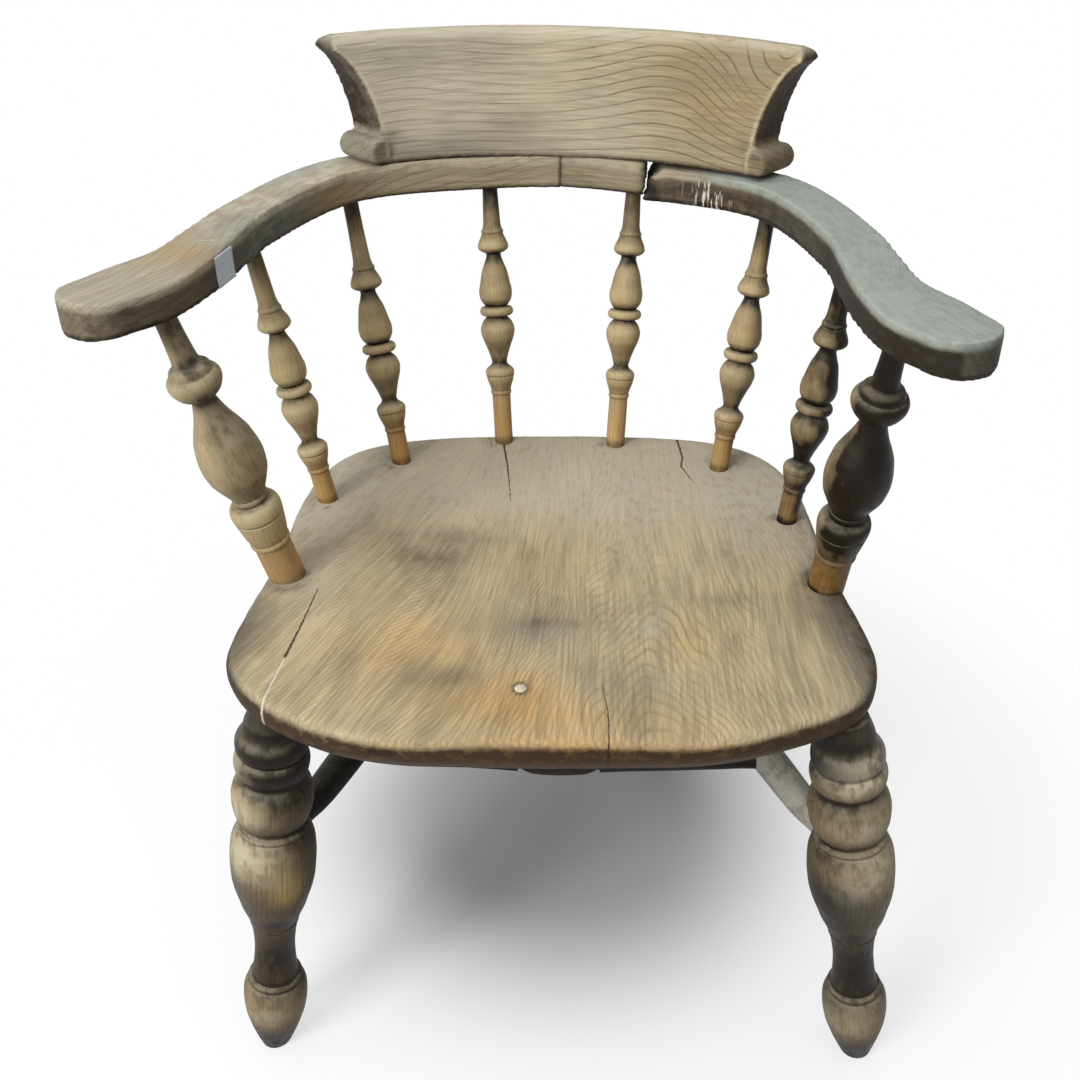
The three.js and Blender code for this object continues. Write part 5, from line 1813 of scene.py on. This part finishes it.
@dataclass
class SmallThings:
    """The peg in the seat, the screws of the crest rail and the blank paper ticket."""

    seat: Seat
    bow: Bow
    crest: CrestRail
    # The peg's top is eased and stands a hair above the seat
    peg_keys: tuple = ((20, 9.6), (33.1, 9.8), (33.7, 9.2), (34, 7.6), (34, 7.6), (34, 4.4),
                       (34.4, 2.4), (34.4, 0.4))
    peg_depth: float = 33.4
    # A countersunk screw, head down: its head and shank, a turn of its thread, and its point
    screw_keys: tuple = ((0, 9), (0.3, 10), (0.3, 10), (4, 5), (4, 5), (34, 5))
    thread_keys: tuple = ((0, 3.8), (0.9, 5), (1.3, 3.8))
    thread_from: float = 34.0
    pitch: float = 2.2
    turns: int = 11
    point_keys: tuple = ((60, 2.6), (62, 0.8))
    screws: tuple = (-148.0, -38.0, 38.0, 148.0)
    # The ticket: its size, the cells that it bends in, and how its foot and one side lift
    ticket: tuple = (0.4, 29.0, 25.0)
    ticket_cells: int = 14
    lift: float = 3.0
    curl: float = 4.0
    curl_from: float = 0.2

    def peg(self, shop: Workshop) -> None:
        """Turns the peg and drives it into the seat."""
        low = Vector((*PEG, self.seat.top - self.peg_depth))
        Turned("peg_in_seat", "seat_plug", "plug_wood", Finish.PLUG, low, low + Vector((0, 0, 1)),
               list(self.peg_keys), Stain(0.0, 0.0, 0.0, 0.0, 0.0), segments=32,
               step=0.5).build(shop)

    def screw_row(self, shop: Workshop) -> None:
        """Turns the four screws and sets them in the bow, up into the crest rail.

        Args:
            shop: The workshop that finishes them.
        """
        thread = [(self.thread_from + self.pitch * turn + t, width)
                  for turn in range(self.turns) for t, width in self.thread_keys]
        keys = [*self.screw_keys, *thread, *self.point_keys]
        crest = self.crest
        reach = crest.front_radius + crest.foot / 2
        for number, x in enumerate(self.screws, 1):
            y = math.sqrt(reach ** 2 - (x - crest.shift) ** 2) - crest.setback - crest.front_radius
            low, high = (self.bow.frame() @ Vector((x, y, z)) for z in (0, keys[-1][0]))
            Turned(f"wood_screw_{number}", f"crest_screw_{number}", "screw_steel", Finish.STEEL,
                   low, high, keys, Stain(), segments=24, step=1.0,
                   out_of_round=0.0).build(shop)

    def lay_ticket(self, shop: Workshop) -> None:
        """Lays the ticket on the inner face of the left arm, its free edge lifting a little.

        Args:
            shop: The workshop that finishes it.
        """
        bm = bmesh.new()
        bmesh.ops.create_cube(bm, size=1)
        bmesh.ops.scale(bm, vec=self.ticket, verts=bm.verts)
        for axis in (1, 2):
            dice(bm, axis, self.ticket[axis], self.ticket_cells)
        for vert in bm.verts:
            across, up = vert.co.y / self.ticket[1], vert.co.z / self.ticket[2]
            curled = max(across - self.curl_from, 0)
            vert.co.x += self.lift * max(-up, 0) ** 2 + self.curl * curled ** 2
        low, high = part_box("paper_label")
        middle = shop.place.inverted() @ ((low + high) / 2)
        local = self.bow.frame().inverted() @ middle
        line, out = self.bow.path()
        near = np.hypot(line[:, 0] + local.x, line[:, 1] - local.y).argmin()
        way = math.atan2(out[near][1], out[near][0])
        stand = self.bow.frame() @ Matrix.Translation(local) @ Matrix.Rotation(-way, 4, "Z")
        shop.finish("blank_ticket", bm, stand, Finish.PAPER, "paper_label", "label_paper", {})

    def build(self, shop: Workshop) -> None:
        """Models the small things and hands them over.

        Args:
            shop: The workshop that finishes them.
        """
        self.peg(shop)
        self.screw_row(shop)
        self.lay_ticket(shop)


# The studio


@dataclass
class Studio:
    """A pale floor, soft light and the camera.

    The eye is in the chair's frame. The floor and the lamps are in metres.
    """

    eye: tuple = (43.2, -923.9, 1053.6)
    ahead: tuple = (-0.0384, 0.8339, -0.5505)
    right: tuple = (0.9991, 0.0427, -0.005)
    # Focal length, optical middle and size of the picture, in its pixels
    focal: float = 1227.6
    middle: Point = (551.9, 541.7)
    frame_size: float = 1080.0
    sensor: float = 36.0
    clip: Point = (0.05, 60.0)
    floor_half: float = 14.0
    # Lamps: name, place, size and power in watts; all of them face one point
    lamps: tuple = (("overhead", (-0.2, -0.2, 2.6), 2.0, 28.0), ("key", (-1.7, -2.1, 1.9), 1.2, 72.0))
    aim: tuple = (0.0, 0.0, 0.4)
    fill: float = 0.3

    def camera(self, shop: Workshop) -> None:
        """Stands the camera where the picture was taken from.

        Args:
            shop: The workshop, which knows where the chair stands.
        """
        lens = bpy.data.cameras.new("camera")
        lens.sensor_width = self.sensor
        lens.lens = self.sensor * self.focal / self.frame_size
        lens.shift_x = (self.frame_size / 2 - self.middle[0]) / self.frame_size
        lens.shift_y = (self.middle[1] - self.frame_size / 2) / self.frame_size
        lens.clip_start, lens.clip_end = self.clip
        ahead = Vector(self.ahead).normalized()
        right = Vector(self.right).normalized()
        turn = Matrix((right, right.cross(ahead), -ahead)).transposed().to_4x4()
        camera = put_in_scene("camera", lens)
        camera.matrix_world = Matrix.Translation(shop.place @ Vector(self.eye)) @ turn
        bpy.context.scene.camera = camera

    def floor(self, shop: Workshop) -> None:
        """Lays a wide pale floor of fine plaster.

        Args:
            shop: The workshop, which has the finishes.
        """
        bm = bmesh.new()
        bmesh.ops.create_grid(bm, x_segments=8, y_segments=8, size=self.floor_half)
        mesh = bpy.data.meshes.new("floor")
        bm.to_mesh(mesh)
        bm.free()
        mesh.materials.append(shop.palette.get(Finish.PLASTER))
        put_in_scene("floor", mesh)

    def light(self) -> None:
        """Hangs the soft boxes and fills the room with an even white."""
        world = bpy.data.worlds.new("room")
        add = Board(world).add
        # White to the eye, and a third of that as light in the room
        seen = add("LightPath", out="Is Camera Ray")
        strength = add("MapRange", (seen, 0.0, 1.0, self.fill, 1.0))
        fill = add("Background", {"Color": "#ffffff", "Strength": strength})
        add("OutputWorld", (fill,))
        bpy.context.scene.world = world
        for name, place, size, power in self.lamps:
            lamp = bpy.data.lights.new(name, "AREA")
            lamp.shape = "SQUARE"
            lamp.size = size
            lamp.energy = power
            hung = put_in_scene(name, lamp)
            hung.location = place
            hung.rotation_mode = "QUATERNION"
            hung.rotation_quaternion = (Vector(self.aim) - Vector(place)).to_track_quat("-Z", "Y")

    def build(self, shop: Workshop) -> None:
        """Sets up the whole studio.

        Args:
            shop: The workshop, which knows where the chair stands and has the finishes.
        """
        self.camera(shop)
        self.floor(shop)
        self.light()
        bpy.context.scene.view_settings.view_transform = "Standard"


def main() -> None:
    logging.basicConfig(level=logging.INFO, format="%(message)s")
    shop = Workshop()
    seat = Seat()
    bow = Bow()
    crest = CrestRail(bow)
    for made in (Studio(), seat, bow, crest, Uprights(seat, bow), Base(),
                 SmallThings(seat, bow, crest)):
        made.build(shop)
    LOG.info("%d pieces made", shop.pieces)


if __name__ == "__main__":
    main()
